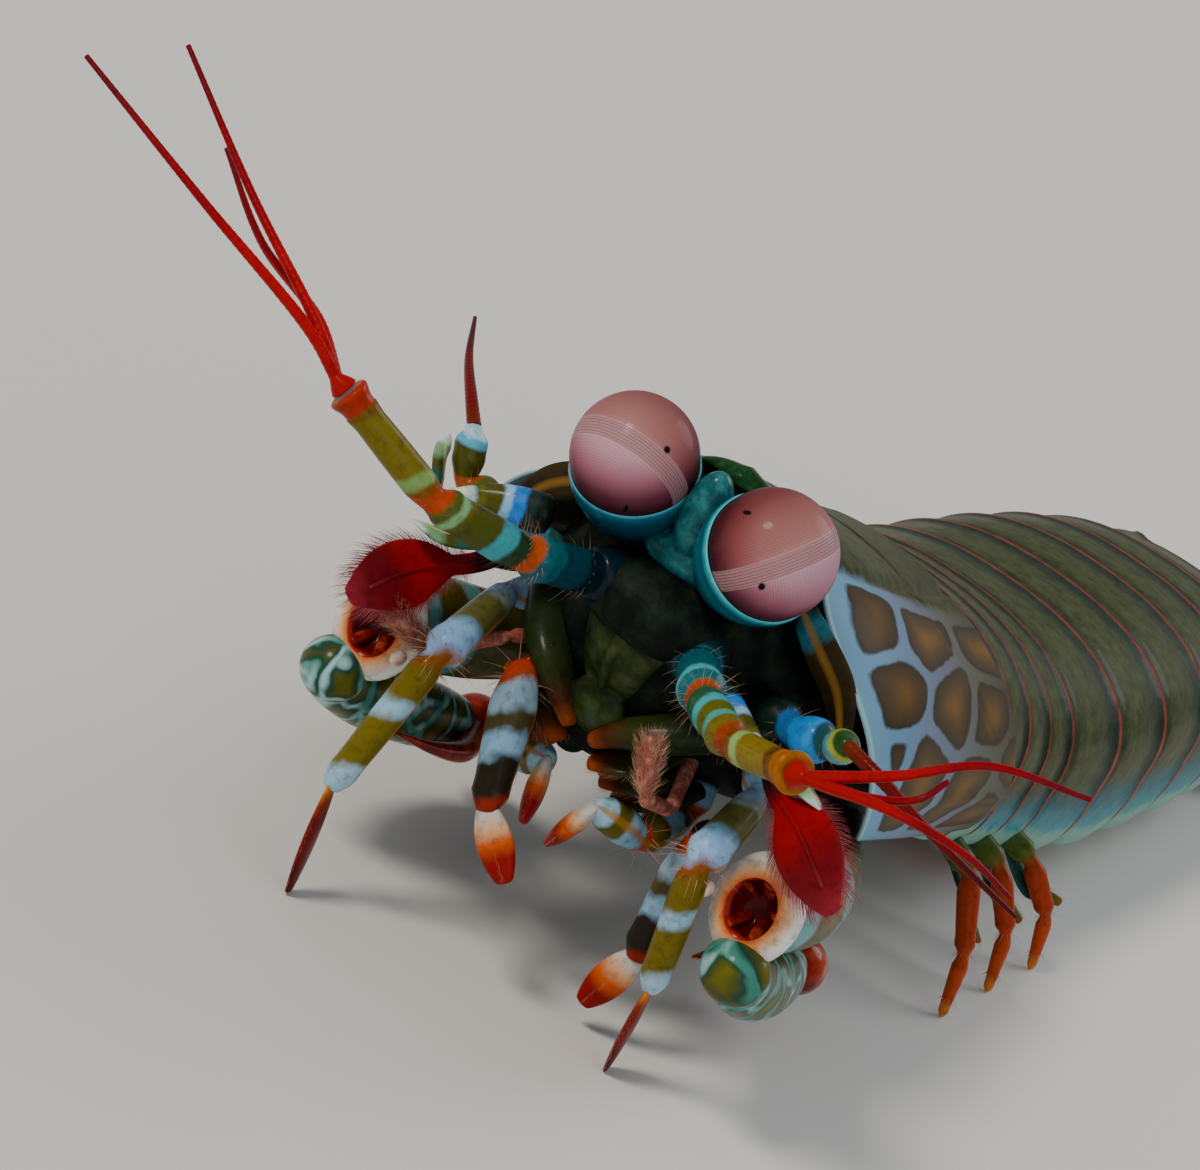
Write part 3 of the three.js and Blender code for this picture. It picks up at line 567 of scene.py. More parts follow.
def cover(
    tree: Tree, under: Socket, over: Socket | str, value: Socket, start: float, end: float, most: float = 1.0
) -> Socket:
    """Lay one colour over another where a value has gone from start to end.

    Args:
        tree: The tree that gets the two nodes.
        under: The colour below.
        over: The colour on top.
        value: What the cover follows.
        start: The value at which nothing is covered.
        end: The value from which the cover is whole.
        most: How much of the colour below a whole cover hides.

    Returns:
        The colour.
    """
    share = add_node(tree, "MapRange", (value, start, end, None, most))
    return add_node(tree, "Mix", {0: share, 6: under, 7: over}, data_type="RGBA")


@dataclass(frozen=True)
class Finish(ABC):
    """The finish of one kind of surface, named for what the real one is."""

    name: str
    roughness: float = 0.4
    coat: float = 0.14  # the film of water over the shell
    bump: float = 0.012  # depth of the relief in millimetres
    glow: float = 0.0  # share of light that goes under the surface

    @abstractmethod
    def paint(self, tree: Tree) -> Socket:
        """Add the nodes of the colour and return its socket."""

    def relief(self, tree: Tree) -> Socket:
        """Add the nodes of the height, by default fine pits 0.25 mm apart."""
        place = add_node(tree, "TexCoord", out="Object")
        return add_node(tree, "TexNoise", (place, None, per(0.25), 3.0))

    def material(self) -> bpy.types.Material:
        """Build the material, or find it where it is already built.

        Returns:
            The material.
        """
        found = bpy.data.materials.get(self.name)
        if found:
            return found
        made = bpy.data.materials.new(self.name)
        made.use_nodes = True
        tree = made.node_tree
        tree.nodes.clear()
        relief = {"Height": self.relief(tree), "Distance": self.bump * MM, "Strength": 1.0}
        look = {
            "Base Color": self.paint(tree),
            "Roughness": self.roughness,
            "IOR": 1.17,  # the shell's own against the sea water's, as in the photograph
            "Coat Weight": self.coat,
            "Coat Roughness": 0.1,
            "Coat IOR": 1.33,  # water
            "Subsurface Weight": self.glow,
            "Subsurface Radius": (1.0, 0.5, 0.3),
            "Subsurface Scale": 0.7 * MM,
            "Normal": add_node(tree, "Bump", relief),
        }
        shader = add_node(tree, "BsdfPrincipled", look)
        add_node(tree, "OutputMaterial", {"Surface": shader})
        return made


def crisp(bands: Stops, length: float, softness: float) -> list[tuple[float, str]]:
    """Turn bands with edges into the stops of a ramp.

    Args:
        bands: Where each band starts, and its colour.
        length: The value of along at the end of the ramp.
        softness: How far two bands run into each other.

    Returns:
        The stops.
    """
    stops = [(0.0, bands[0][1])]
    for (_, before), (start, colour) in zip(bands, bands[1:]):
        stops.append((max(stops[-1][0] + 1e-4, (start - softness) / length), before))
        stops.append((max(stops[-1][0] + 1e-4, (start + softness) / length), colour))
    return stops


@dataclass(frozen=True)
class BandedChitin(Finish):
    """Thin wet limb shell with rings of colour: the pale ones look enamelled over the dark."""

    bands: Stops = ()
    length: float = 1.0  # the value of along at the far end
    softness: float = 0.03
    wobble: float = 0.05  # how far an edge wanders
    drift: float = 1.3  # millimetres from one bend of an edge to the next
    slant: float = 0.0  # how far the bands lean from one side to the other
    edge: str = ""  # colour of a thin line down both silhouettes
    shade: str = "#8a8674"  # multiplies the colour in its mottling

    def paint(self, tree: Tree) -> Socket:
        """Add the bands, their mottling and the line down the sides."""
        add = partial(add_node, tree)
        ring = add("Attribute", out="Vector", attribute_name="ring")
        side = add("SeparateXYZ", (ring,), out="Y")
        along = add("Attribute", out="Fac", attribute_name="along")
        leant = add("Math", (side, self.slant, along), operation="MULTIPLY_ADD")
        place = add("TexCoord", out="Object")
        noise = add("TexNoise", (place, None, per(self.drift), 2.0))
        moved = add("Math", (noise, 2 * self.wobble, leant), operation="MULTIPLY_ADD")
        share = add("MapRange", (moved, self.wobble, self.length + self.wobble))
        colour = add("ValToRGB", (share,), crisp(self.bands, self.length, self.softness))
        mottle = add("TexNoise", (place, None, per(0.55), 4.0, 0.6))
        amount = add("MapRange", (mottle, 0.5, 0.72, None, 0.55))
        colour = add("Mix", {0: amount, 6: colour, 7: self.shade}, data_type="RGBA", blend_type="MULTIPLY")
        if not self.edge:
            return colour
        out = add("Math", (side,), operation="ABSOLUTE")
        return cover(tree, colour, self.edge, out, 0.955, 0.99, 0.8)


@dataclass(frozen=True)
class NettedChitin(Finish):
    """Thick claw shell: smooth cells of one colour in a pale net, like glazed tiles."""

    cell: str = "#4c5016"
    heart: str = "#787010"  # middle of a cell
    border: str = "#1c4434"  # dark line round a cell
    net: str = "#3c8474"
    streak: str = "#a8ccd0"  # painted highlight, laid over the net in clouds
    pitch: float = 2.8  # millimetres from cell to cell
    width: float = 0.06  # half width of the net, as a share of the pitch

    def paint(self, tree: Tree) -> Socket:
        """Add the cells, the net between them and the painted highlight on the net."""
        add = partial(add_node, tree)
        place = add("TexCoord", out="Object")
        noise = add("TexNoise", (place, None, per(self.pitch * 0.8), 1.0), out="Color")
        offset = add("VectorMath", (noise, (0.5, 0.5, 0.5)), operation="SUBTRACT")
        reach = (self.pitch * MM * 0.8,) * 3
        bent = add("VectorMath", (offset, reach, place), operation="MULTIPLY_ADD")
        cells = {"Vector": bent, "Scale": per(self.pitch), "Randomness": 0.8}
        far = add("TexVoronoi", cells, feature="DISTANCE_TO_EDGE")
        stops = [
            (0.0, self.net), (self.width, self.net), (self.width + 0.07, self.border),
            (self.width + 0.16, self.cell), (min(self.width + 0.4, 0.95), self.heart),
        ]
        colour = add("ValToRGB", (far,), stops)
        # Clouds of painted highlight on the net
        clouds = add("TexNoise", (place, None, per(self.pitch * 0.7), 2.0))
        pale = add("MapRange", (clouds, 0.44, 0.6))
        line = add("MapRange", (far, self.width + 0.05, self.width * 0.3))
        amount = add("Math", (line, pale), operation="MULTIPLY")
        return add("Mix", {0: amount, 6: colour, 7: self.streak}, data_type="RGBA")


@dataclass(frozen=True)
class SpottedCarapace(Finish):
    """Carapace shell: leopard spots in a pale blue net at the sides, olive over the back."""

    nets: Stops = ((0.0, "#6ca4c0"), (0.1, "#6a98bc"), (0.4, "#6c7c94"), (0.75, "#5c5c50"), (1.0, "#40402a"))
    cells: Stops = ((0.2, "#2a1e06"), (0.3, "#3a2a06"), (0.55, "#4c3808"), (0.9, "#74500a"))
    back: Stops = ((0.3, "#1c240a"), (0.5, "#343a12"), (0.7, "#4c5020"))
    lining: Stops = (
        (0.0, "#8cc0d0"), (0.04, "#6ca4b0"), (0.065, "#7c7420"), (0.16, "#54501a"), (0.4, "#20240a")
    )

    def paint(self, tree: Tree) -> Socket:
        """Add the cells, the net, the back, the inside and the pale front edge."""
        add = partial(add_node, tree)
        depth, along, across, under = (
            add("Attribute", out="Fac", attribute_name=key) for key in ("cell", "along", "across", "under")
        )
        place = add("TexCoord", out="Object")
        noise = add("TexNoise", (place, None, per(1.1), 3.0))
        bent = add("Math", (noise, 0.3, depth), operation="MULTIPLY_ADD")
        deep = add("MapRange", (bent, 0.15, 2.15))
        net = add("ValToRGB", (along,), self.nets)
        colour = cover(tree, net, add("ValToRGB", (deep,), self.cells), deep, 0.13, 0.21)
        mottle = add("TexNoise", (place, None, per(0.8), 5.0, 0.65))
        wavy = add("Math", (noise, 0.05, across), operation="MULTIPLY_ADD")
        colour = cover(tree, add("ValToRGB", (mottle,), self.back), colour, wavy, 0.285, 0.315)
        lining = add("ValToRGB", (along,), self.lining)
        colour = add("Mix", {0: under, 6: colour, 7: lining}, data_type="RGBA")
        return cover(tree, colour, "#98c0cc", along, 0.02, 0.01)


@dataclass(frozen=True)
class SomiteChitin(Finish):
    """Armour of a body ring: olive, darker to the rear, with a red rim and teal side plates."""

    back: Stops = (
        (0.0, "#1e2a12"), (0.14, "#343f16"), (0.4, "#4a521c"), (0.74, "#404a1c"), (0.88, "#183420"),
        (0.95, "#102c24"), (0.972, "#a03c10"), (1.0, "#a8240c"),
    )
    clouds: Stops = ((0.32, "#6a6a5c"), (0.5, "#c9c9b8"), (0.68, "#fffff0"))
    plates: Stops = ((0.0, "#154a40"), (0.45, "#126070"), (0.75, "#3a94a0"), (0.86, "#86b8a8"))

    def paint(self, tree: Tree) -> Socket:
        """Add the bands from front to rear, the mottling and the side plates."""
        add = partial(add_node, tree)
        along, drop = (add("Attribute", out="Fac", attribute_name=key) for key in ("along", "drop"))
        place = add("TexCoord", out="Object")
        mottle = add("TexNoise", (place, None, per(1.1), 5.0, 0.62))
        base = add("ValToRGB", (along,), self.back)
        tone = add("ValToRGB", (mottle,), self.clouds)
        colour = add("Mix", {0: 0.8, 6: base, 7: tone}, data_type="RGBA", blend_type="MULTIPLY")
        wavy = add("Math", (mottle, 0.3, drop), operation="MULTIPLY_ADD")
        plate = add("ValToRGB", (wavy,), self.plates)
        down = add("MapRange", (wavy, 0.16, 0.42, None, 0.85))
        clear = add("MapRange", (along, 0.96, 0.93))
        amount = add("Math", (down, clear), operation="MULTIPLY")
        return add("Mix", {0: amount, 6: colour, 7: plate}, data_type="RGBA")


@dataclass(frozen=True)
class FacetedCornea(Finish):
    """Eye surface: thousands of clear lenses over a mauve pigment, wet and very smooth.

    The real lenses are about 0.08 mm apart. They are drawn 0.15 mm apart, because finer ones
    wouldn't show.
    """

    pupils: tuple[tuple[float, float], ...] = ()  # degrees along and above the band
    radius: float = 3.5
    band: float = 8.0  # degrees from the band's middle to its edge
    lens: float = 0.15
    pigment: Stops = (
        (0.0, "#c49cac"), (0.42, "#d8b0bc"), (0.5, "#c89a9e"), (0.62, "#b07a76"), (1.0, "#8c524e")
    )
    # Painted shade: the pigment darkens towards the cornea's edge, as it does where it is seen at a grazing
    # angle
    rims: Stops = (
        (0.0, "#ffffff"), (0.4, "#f4e4e8"), (0.6, "#d4a4b0"), (0.78, "#8c5264"), (0.94, "#421624")
    )
    strokes: Stops = (
        (0.0, "#5c343e"), (0.12, "#84585f"), (0.22, "#d0a8a8"), (0.33, "#8c6066"), (0.5, "#c09898")
    )

    def grid(self, tree: Tree) -> tuple[Socket, Socket]:
        """Add the cells of the lenses.

        Returns:
            The value called band, and the distance from a lens's edge.
        """
        spot = add_node(tree, "Attribute", out="Vector", attribute_name="band")
        step = self.radius / self.lens
        lenses = add_node(tree, "VectorMath", (spot, (step, step, 1.0)), operation="MULTIPLY")
        cells = {"Vector": lenses, "Scale": 1.0, "Randomness": 0.0}
        modes = {"feature": "DISTANCE_TO_EDGE", "voronoi_dimensions": "2D"}
        return spot, add_node(tree, "TexVoronoi", cells, **modes)

    def paint(self, tree: Tree) -> Socket:
        """Add the pigment, its painted shade towards the edge, the lenses, the lines of the band and the
        dark spots.
        """
        add = partial(add_node, tree)
        spot, edge = self.grid(tree)
        parts = add("SeparateXYZ", (spot,)).node.outputs
        height, rim = parts["Y"], parts["Z"]
        share = add("MapRange", (height, -1.1, 1.1))
        # The painted shade towards the edge multiplies the pigment
        colours = {
            0: 1.0, 6: add("ValToRGB", (share,), self.pigment), 7: add("ValToRGB", (rim,), self.rims),
        }
        colour = add("Mix", colours, data_type="RGBA", blend_type="MULTIPLY")
        colour = cover(tree, colour, "#5c333c", edge, 0.2, 0.03, 0.34)
        half = math.radians(self.band)
        row = add("MapRange", (height, -half, half, None, 6.0), clamp=False)
        wave = add("Math", (row, 0.5), operation="PINGPONG")
        rows = add("ValToRGB", (wave,), self.strokes)
        tall = add("Math", (height,), operation="ABSOLUTE")
        colour = cover(tree, colour, rows, tall, half * 1.06, half, 0.8)
        border = add("Math", (tall, half * 1.1), operation="SUBTRACT")
        near = add("Math", (border,), operation="ABSOLUTE")
        colour = cover(tree, colour, "#c8a4a4", near, 0.016, 0.006, 0.45)
        here = add("VectorMath", (spot, (1.0, 1.0, 0.0)), operation="MULTIPLY")
        for across, up in self.pupils:
            centre = (math.radians(across) * math.cos(math.radians(up)), math.radians(up), 0.0)
            away = add("VectorMath", (here, centre), operation="DISTANCE")
            colour = cover(tree, colour, "#0c0608", away, 0.072, 0.042)
        return colour

    def relief(self, tree: Tree) -> Socket:
        """Add the domes of the lenses."""
        return self.grid(tree)[1]


@dataclass(frozen=True)
class MottledChitin(Finish):
    """Shell of one colour family, clouded from thin to thick pigment."""

    tones: Stops = ((0.3, "#1c4a2c"), (0.5, "#2c6a38"), (0.7, "#4a8a48"))
    blot: float = 0.9  # millimetres from cloud to cloud

    def paint(self, tree: Tree) -> Socket:
        """Add the clouds."""
        place = add_node(tree, "TexCoord", out="Object")
        mottle = add_node(tree, "TexNoise", (place, None, per(self.blot), 4.0, 0.6))
        return add_node(tree, "ValToRGB", (mottle,), self.tones)


# Geometry Nodes trees


class ShapeTree(ABC):
    """A Geometry Nodes tree with named inputs, built once and run on many objects."""

    name: ClassVar[str]
    inputs: ClassVar[dict[str, str]]  # each input's name and kind of value

    def __init__(self) -> None:
        """Make the tree with its sockets and nodes."""
        self.tree = bpy.data.node_groups.new(self.name, "GeometryNodeTree")
        face = self.tree.interface
        for way in ("INPUT", "OUTPUT"):
            face.new_socket("Geometry", in_out=way, socket_type="NodeSocketGeometry")
        kinds = {**self.inputs, "Material": "Material"}
        self.sockets = {
            key: face.new_socket(key, in_out="INPUT", socket_type="NodeSocket" + kind).identifier
            for key, kind in kinds.items()
        }
        given = add_node(self.tree, "GroupInput").node.outputs
        real = add_node(self.tree, "RealizeInstances", (self.build(given),))
        smooth = add_node(self.tree, "SetShadeSmooth", (real,))
        dressed = add_node(self.tree, "SetMaterial", {0: smooth, "Material": given["Material"]})
        add_node(self.tree, "GroupOutput", (dressed,))

    @abstractmethod
    def build(self, given: Mapping[str, Socket]) -> Socket:
        """Add the tree's own nodes and return the socket of its geometry."""

    def run(self, made: bpy.types.Object, values: Mapping[str, Any]) -> bpy.types.Mesh:
        """Run the tree on an object and read off the plain mesh.

        Args:
            made: The object, which is linked to the scene.
            values: The value of each named input.

        Returns:
            The finished mesh.
        """
        modifier = made.modifiers.new(self.name, "NODES")
        modifier.node_group = self.tree
        for key, value in values.items():
            modifier[self.sockets[key]] = value
        graph = bpy.context.evaluated_depsgraph_get()
        mesh = bpy.data.meshes.new_from_object(
            made.evaluated_get(graph), preserve_all_data_layers=True, depsgraph=graph
        )
        made.modifiers.remove(modifier)
        return mesh


class BristleTree(ShapeTree):
    """Plants a bent, tapering bristle on each point of a mesh.

    A point's value way is the bristle's direction, lean the direction that its tip bends to
    and length its length.
    """

    name = "plant_bristles"
    inputs = {"Slenderness": "Float", "Curl": "Float", "Spread": "Float", "Seed": "Int"}

    def build(self, given: Mapping[str, Socket]) -> Socket:
        """Make one bristle of length one, then place and turn its copies."""
        add = partial(add_node, self.tree)
        line = add("CurvePrimitiveLine", {"End": (0.0, 0.0, 1.0)})
        cuts = add("ResampleCurve", {"Curve": line, "Count": 5})
        share = add("SplineParameter", out="Factor")
        bent = add("Math", (share, 2.0), operation="POWER")
        push = add("Math", (bent, given["Curl"]), operation="MULTIPLY")
        moved = add("SetPosition", {0: cuts, "Offset": add("CombineXYZ", (push,))})
        kept = {"Geometry": moved, "Name": "along", "Value": share}
        marked = add("StoreNamedAttribute", kept, data_type="FLOAT")
        thin = add("MapRange", (share, None, None, 1.0, 0.12))
        radius = add("Math", (thin, given["Slenderness"]), operation="MULTIPLY")
        skin = {
            "Curve": marked,
            "Profile Curve": add("CurvePrimitiveCircle", {"Resolution": 3, "Radius": 1.0}),
            "Scale": radius, "Fill Caps": True,
        }
        bristle = add("CurveToMesh", skin)
        way, lean = (
            add("InputNamedAttribute", {"Name": key}, data_type="FLOAT_VECTOR") for key in ("way", "lean")
        )
        length = add("InputNamedAttribute", {"Name": "length"}, data_type="FLOAT")
        dice = {0: (-1.0, -1.0, -1.0), 1: (1.0, 1.0, 1.0), "Seed": given["Seed"]}
        jitter = add("RandomValue", dice, data_type="FLOAT_VECTOR")
        strayed = add("VectorMath", {0: jitter, "Scale": given["Spread"]}, operation="SCALE")
        aim = add("VectorMath", (way, strayed), operation="ADD")
        upright = add("AlignRotationToVector", {"Vector": aim}, axis="Z")
        over = {"Rotation": upright, "Vector": lean}
        turned_over = add("AlignRotationToVector", over, axis="X", pivot_axis="Z")
        uneven = add("RandomValue", {2: 0.72, 3: 1.12, "Seed": given["Seed"]}, data_type="FLOAT")
        copies = {
            "Points": given["Geometry"], "Instance": bristle, "Rotation": turned_over,
            "Scale": add("Math", (length, uneven), operation="MULTIPLY"),
        }
        return add("InstanceOnPoints", copies)


class WhipTree(ShapeTree):
    """Turns a curve into a tapering whip of short rings."""

    name = "grow_whip"
    inputs = {"Root": "Float", "Tip": "Float", "Pitch": "Float", "Relief": "Float"}

    def build(self, given: Mapping[str, Socket]) -> Socket:
        """Cut the curve finely, swell it in each ring and skin it."""
        add = partial(add_node, self.tree)
        step = add("Math", (given["Pitch"], 4.0), operation="DIVIDE")
        cuts = add("ResampleCurve", {"Curve": given["Geometry"], "Length": step}, mode="LENGTH")
        place = add("SplineParameter").node.outputs
        kept = {"Geometry": cuts, "Name": "along", "Value": place["Factor"]}
        marked = add("StoreNamedAttribute", kept, data_type="FLOAT")
        rings = add("Math", (place["Length"], given["Pitch"]), operation="DIVIDE")
        part = add("Math", (rings,), operation="FRACT")
        flare = add("MapRange", (part, None, None, 1.0, given["Relief"]))
        thin = add("MapRange", (place["Factor"], None, None, given["Root"], given["Tip"]))
        skin = {
            "Curve": marked,
            "Profile Curve": add("CurvePrimitiveCircle", {"Resolution": 10, "Radius": 1.0}),
            "Scale": add("Math", (thin, flare), operation="MULTIPLY"), "Fill Caps": True,
        }
        return add("CurveToMesh", skin)


class CorneaTree(ShapeTree):
    """Reads off where each point of an eye lies round its band, and raises the band's rows."""

    name = "raise_facet_rows"
    inputs = {
        **dict.fromkeys(("Centre", "Pole", "Ahead", "Beside", "Gaze"), "Vector"),
        **dict.fromkeys(("Edge", "Level", "Half width", "Rows", "Relief"), "Float"),
    }

    def build(self, given: Mapping[str, Socket]) -> Socket:
        """Measure the angles, keep them as the value called band and lift the rows."""
        add = partial(add_node, self.tree)
        arm = add("VectorMath", (add("InputPosition"), given["Centre"]), operation="SUBTRACT")
        way = add("VectorMath", (arm,), operation="NORMALIZE")
        pole, ahead, beside, gaze = (
            add("VectorMath", (way, given[key]), operation="DOT_PRODUCT")
            for key in ("Pole", "Ahead", "Beside", "Gaze")
        )
        tilt = add("Math", (pole,), operation="ARCSINE")
        height = add("Math", (tilt, given["Level"]), operation="SUBTRACT")
        turn = add("Math", (beside, ahead), operation="ARCTAN2")
        narrow = add("Math", (tilt,), operation="COSINE")
        across = add("Math", (turn, narrow), operation="MULTIPLY")
        from_axis = add("Math", (gaze,), operation="ARCCOSINE")
        rim = add("Math", (from_axis, given["Edge"]), operation="DIVIDE")
        spot = add("CombineXYZ", (across, height, rim))
        band = {"Geometry": given["Geometry"], "Name": "band", "Value": spot}
        kept = add("StoreNamedAttribute", band, data_type="FLOAT_VECTOR")
        half = given["Half width"]
        low = add("Math", (half, -1.0), operation="MULTIPLY")
        row = add("MapRange", (height, low, half, None, given["Rows"]))
        wave = add("Math", (row, math.pi), operation="MULTIPLY")
        arch = add("Math", (wave,), operation="SINE")
        ridge = add("Math", (arch,), operation="ABSOLUTE")
        lift = add("Math", (ridge, given["Relief"]), operation="MULTIPLY")
        offset = add("VectorMath", {0: way, "Scale": lift}, operation="SCALE")
        return add("SetPosition", {0: kept, "Offset": offset})


# The bench, where shapes become pieces of the model


@dataclass(frozen=True)
class PoseFrame:
    """Where the pose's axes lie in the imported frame, in metres."""

    origin: Array

    @classmethod
    def from_nodes(cls) -> PoseFrame:
        """Find the axes from the head, whose brow reaches 1.8 mm in front of the eyes' middle."""
        low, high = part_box("cephalothorax")
        return cls(np.array([(low.x + high.x) / 2, low.y + 1.8 * MM, 0.0]))

    def metres(self, points: Array) -> Array:
        """Turn the pose's millimetres into the frame's metres."""
        return np.asarray(points) * MM + self.origin


def link(name: str, data: bpy.types.ID) -> bpy.types.Object:
    """Put an object into the scene at its origin."""
    made = bpy.data.objects.new(name, data)
    bpy.context.scene.collection.objects.link(made)
    return made


class Bench:
    """Makes the pieces, dresses them, hangs them on the animal's root and hides the solids that they
    replace.
    """

    def __init__(self, pose: PoseFrame) -> None:
        """Keep the pose's axes and build the trees."""
        self.pose = pose
        self.bristle_tree = BristleTree()
        self.whip_tree = WhipTree()
        self.cornea_tree = CorneaTree()

    def mesh(self, name: str, shapes: Sequence[Shape]) -> bpy.types.Mesh:
        """Make one mesh of some shapes, its faces turned outwards.

        Args:
            name: The mesh's name.
            shapes: The shapes.

        Returns:
            The mesh, with the shapes' values as attributes of its points.
        """
        shape = Shape.joined(shapes)
        mesh = bpy.data.meshes.new(name)
        mesh.from_pydata(self.pose.metres(shape.points).tolist(), [], shape.faces)
        for key, value in shape.values.items():
            flat = value.ndim == 1
            layer = mesh.attributes.new(key, "FLOAT" if flat else "FLOAT_VECTOR", "POINT")
            numbers = np.ascontiguousarray(value, dtype=np.float32).ravel()
            layer.data.foreach_set("value" if flat else "vector", numbers)
        faces = bmesh.new()
        faces.from_mesh(mesh)
        bmesh.ops.recalc_face_normals(faces, faces=faces.faces)
        faces.to_mesh(mesh)
        faces.free()
        mesh.shade_smooth()
        return mesh

    def settle(self, made: bpy.types.Object, slot: Slot, nodes: Sequence[str] = ()) -> None:
        """Let a piece ride on the animal and stand for its solids.

        Args:
            made: The piece.
            slot: Not used.
            nodes: The solids that it replaces.
        """
        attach(made, "root")
        if nodes:
            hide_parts(*nodes)
        slot.value
        LOG.info("piece %s: %d faces", made.name, len(made.data.polygons))

    def piece(
        self,
        name: str,
        shapes: Sequence[Shape],
        finish: Finish,
        slot: Slot,
        nodes: Sequence[str] = (),
        grain: float = 0.0,
        passes: int = 6,
    ) -> None:
        """Make a finished piece.

        Args:
            name: The piece's name.
            shapes: Its shapes.
            finish: Its finish.
            slot: The material slot of that finish.
            nodes: The solids that it replaces.
            grain: Where the shapes get one skin round them all, its grain in millimetres.
            passes: How often that skin is smoothed.
        """
        made = link(name, self.mesh(name, shapes))
        if grain:
            skin = made.modifiers.new("one skin", "REMESH")
            skin.mode = "VOXEL"
            skin.voxel_size = grain * MM
            soft = made.modifiers.new("soft", "SMOOTH")
            soft.factor = 0.5
            soft.iterations = passes
            graph = bpy.context.evaluated_depsgraph_get()
            made.data = bpy.data.meshes.new_from_object(made.evaluated_get(graph), depsgraph=graph)
            made.modifiers.clear()
            made.data.shade_smooth()
            made.data.materials.clear()
        made.data.materials.append(finish.material())
        self.settle(made, slot, nodes)

    def bristles(
        self,
        name: str,
        tufts: Sequence[Tuft],
        finish: Finish,
        slot: Slot,
        thickness: float,
        curl: float = 0.2,
        spread: float = 0.15,
    ) -> None:
        """Plant bristles and make them one piece.

        Args:
            name: The piece's name.
            tufts: The tufts.
            finish: The bristles' finish.
            slot: The material slot of that finish.
            thickness: Half width of a bristle of average length at its root.
            curl: How far a tip bends over, as a share of the length.
            spread: How far the directions stray.
        """
        roots, ways, leans, lengths = (np.concatenate([tuft[k] for tuft in tufts]) for k in range(4))
        points = Shape(roots, [], {"way": ways, "lean": leans, "length": lengths * MM})
        made = link(name, self.mesh(name, [points]))
        values = {
            "Slenderness": float(thickness / lengths.mean()), "Curl": curl, "Spread": spread,
            "Seed": BRISTLE_SEED, "Material": finish.material(),
        }
        made.data = self.bristle_tree.run(made, values)
        self.settle(made, slot)

    def whip(self, name: str, path: Array, finish: Finish, nodes: Sequence[str], sizes: Point) -> None:
        """Make a ringed whip along a path.

        Args:
            name: The piece's name.
            path: Points of the path.
            finish: The whip's finish.
            nodes: The solids that it replaces.
            sizes: Half width at its root and at its tip, and the pitch of its rings.
        """
        curve = bpy.data.curves.new(name + "_path", "CURVE")
        curve.dimensions = "3D"
        spline = curve.splines.new("POLY")
        spline.points.add(len(path) - 1)
        flat = np.hstack([self.pose.metres(path), np.ones((len(path), 1))])
        spline.points.foreach_set("co", flat.astype(np.float32).ravel())
        guide = link(name + "_path", curve)
        root, tip, pitch = (size * MM for size in sizes)
        values = {"Root": root, "Tip": tip, "Pitch": pitch, "Relief": 1.08, "Material": finish.material()}
        mesh = self.whip_tree.run(guide, values)
        bpy.data.objects.remove(guide)
        self.settle(link(name, mesh), Slot.WHIP, nodes)


def collar_tuft(
    rod: Sweep, share: float, count: int, length: float, forward: float = 0.6, turn: float = 0.0
) -> Tuft:
    """Bristles in a ring round a rod.

    Args:
        rod: The rod.
        share: How far along it they stand.
        count: How many there are.
        length: Their length.
        forward: How far they point along the rod.
        turn: Where the first one stands, in radians.

    Returns:
        The tuft.
    """
    angle = np.linspace(0, 2 * np.pi, count, endpoint=False) + turn
    roots, out, ahead = rod.skin(np.full(count, share), angle)
    return roots, unit(out + forward * ahead), ahead, np.full(count, length)


def fringe(leaf: Sweep, count: int, length: float, start: float = 0.35, flat: float = 0.93) -> Tuft:
    """Bristles round the edge of a flat leaf, from both sides to its tip.

    Args:
        leaf: The leaf.
        count: How many there are.
        length: Their length at the tip.
        start: How far along the leaf they begin.
        flat: How far from the middle line they stand, as a share of the half width.

    Returns:
        The tuft.
    """
    turn = np.linspace(-1, 1, count)
    wide = np.abs(turn)
    share = mix(0.985, start, wide**1.25)
    ahead, side = leaf.read(leaf.ahead, share), leaf.read(leaf.side, share)
    out = side * np.sign(turn)[:, None]
    edge = leaf.read(leaf.widths, share) * flat * np.clip(wide / 0.1, 0, 1)
    roots = leaf.read(leaf.path, share) + out * edge[:, None]
    way = unit(ahead * (1.2 - wide)[:, None] + out * (0.25 + wide)[:, None])
    return roots, way, ahead, length * mix(1.0, 0.72, wide**2)


# Head


SETA = MottledChitin(
    # Clear horny hair with a pink blush: it lights up where it stands against the dark
    "amber_seta",
    tones=((0.35, "#a8684c"), (0.65, "#d4a88c")),
    roughness=0.42,
    coat=0.0,
    bump=0.0,
    glow=0.1,
)
SCARLET_SETA = MottledChitin(
    # Hair as red as the edge that it stands on
    "scarlet_seta", tones=((0.35, "#98140c"), (0.65, "#c03c1c")), coat=0.0, bump=0.0, glow=0.1
)


@dataclass(frozen=True)
class EyeAim:
    """How one eye is turned, and how its band of large facets lies."""

    gaze: Point
    pole: Point  # square to the band
    level: float  # degrees from the great circle to the band's middle
    pupils: tuple[tuple[float, float], ...]  # dark spots, in degrees along and above the band


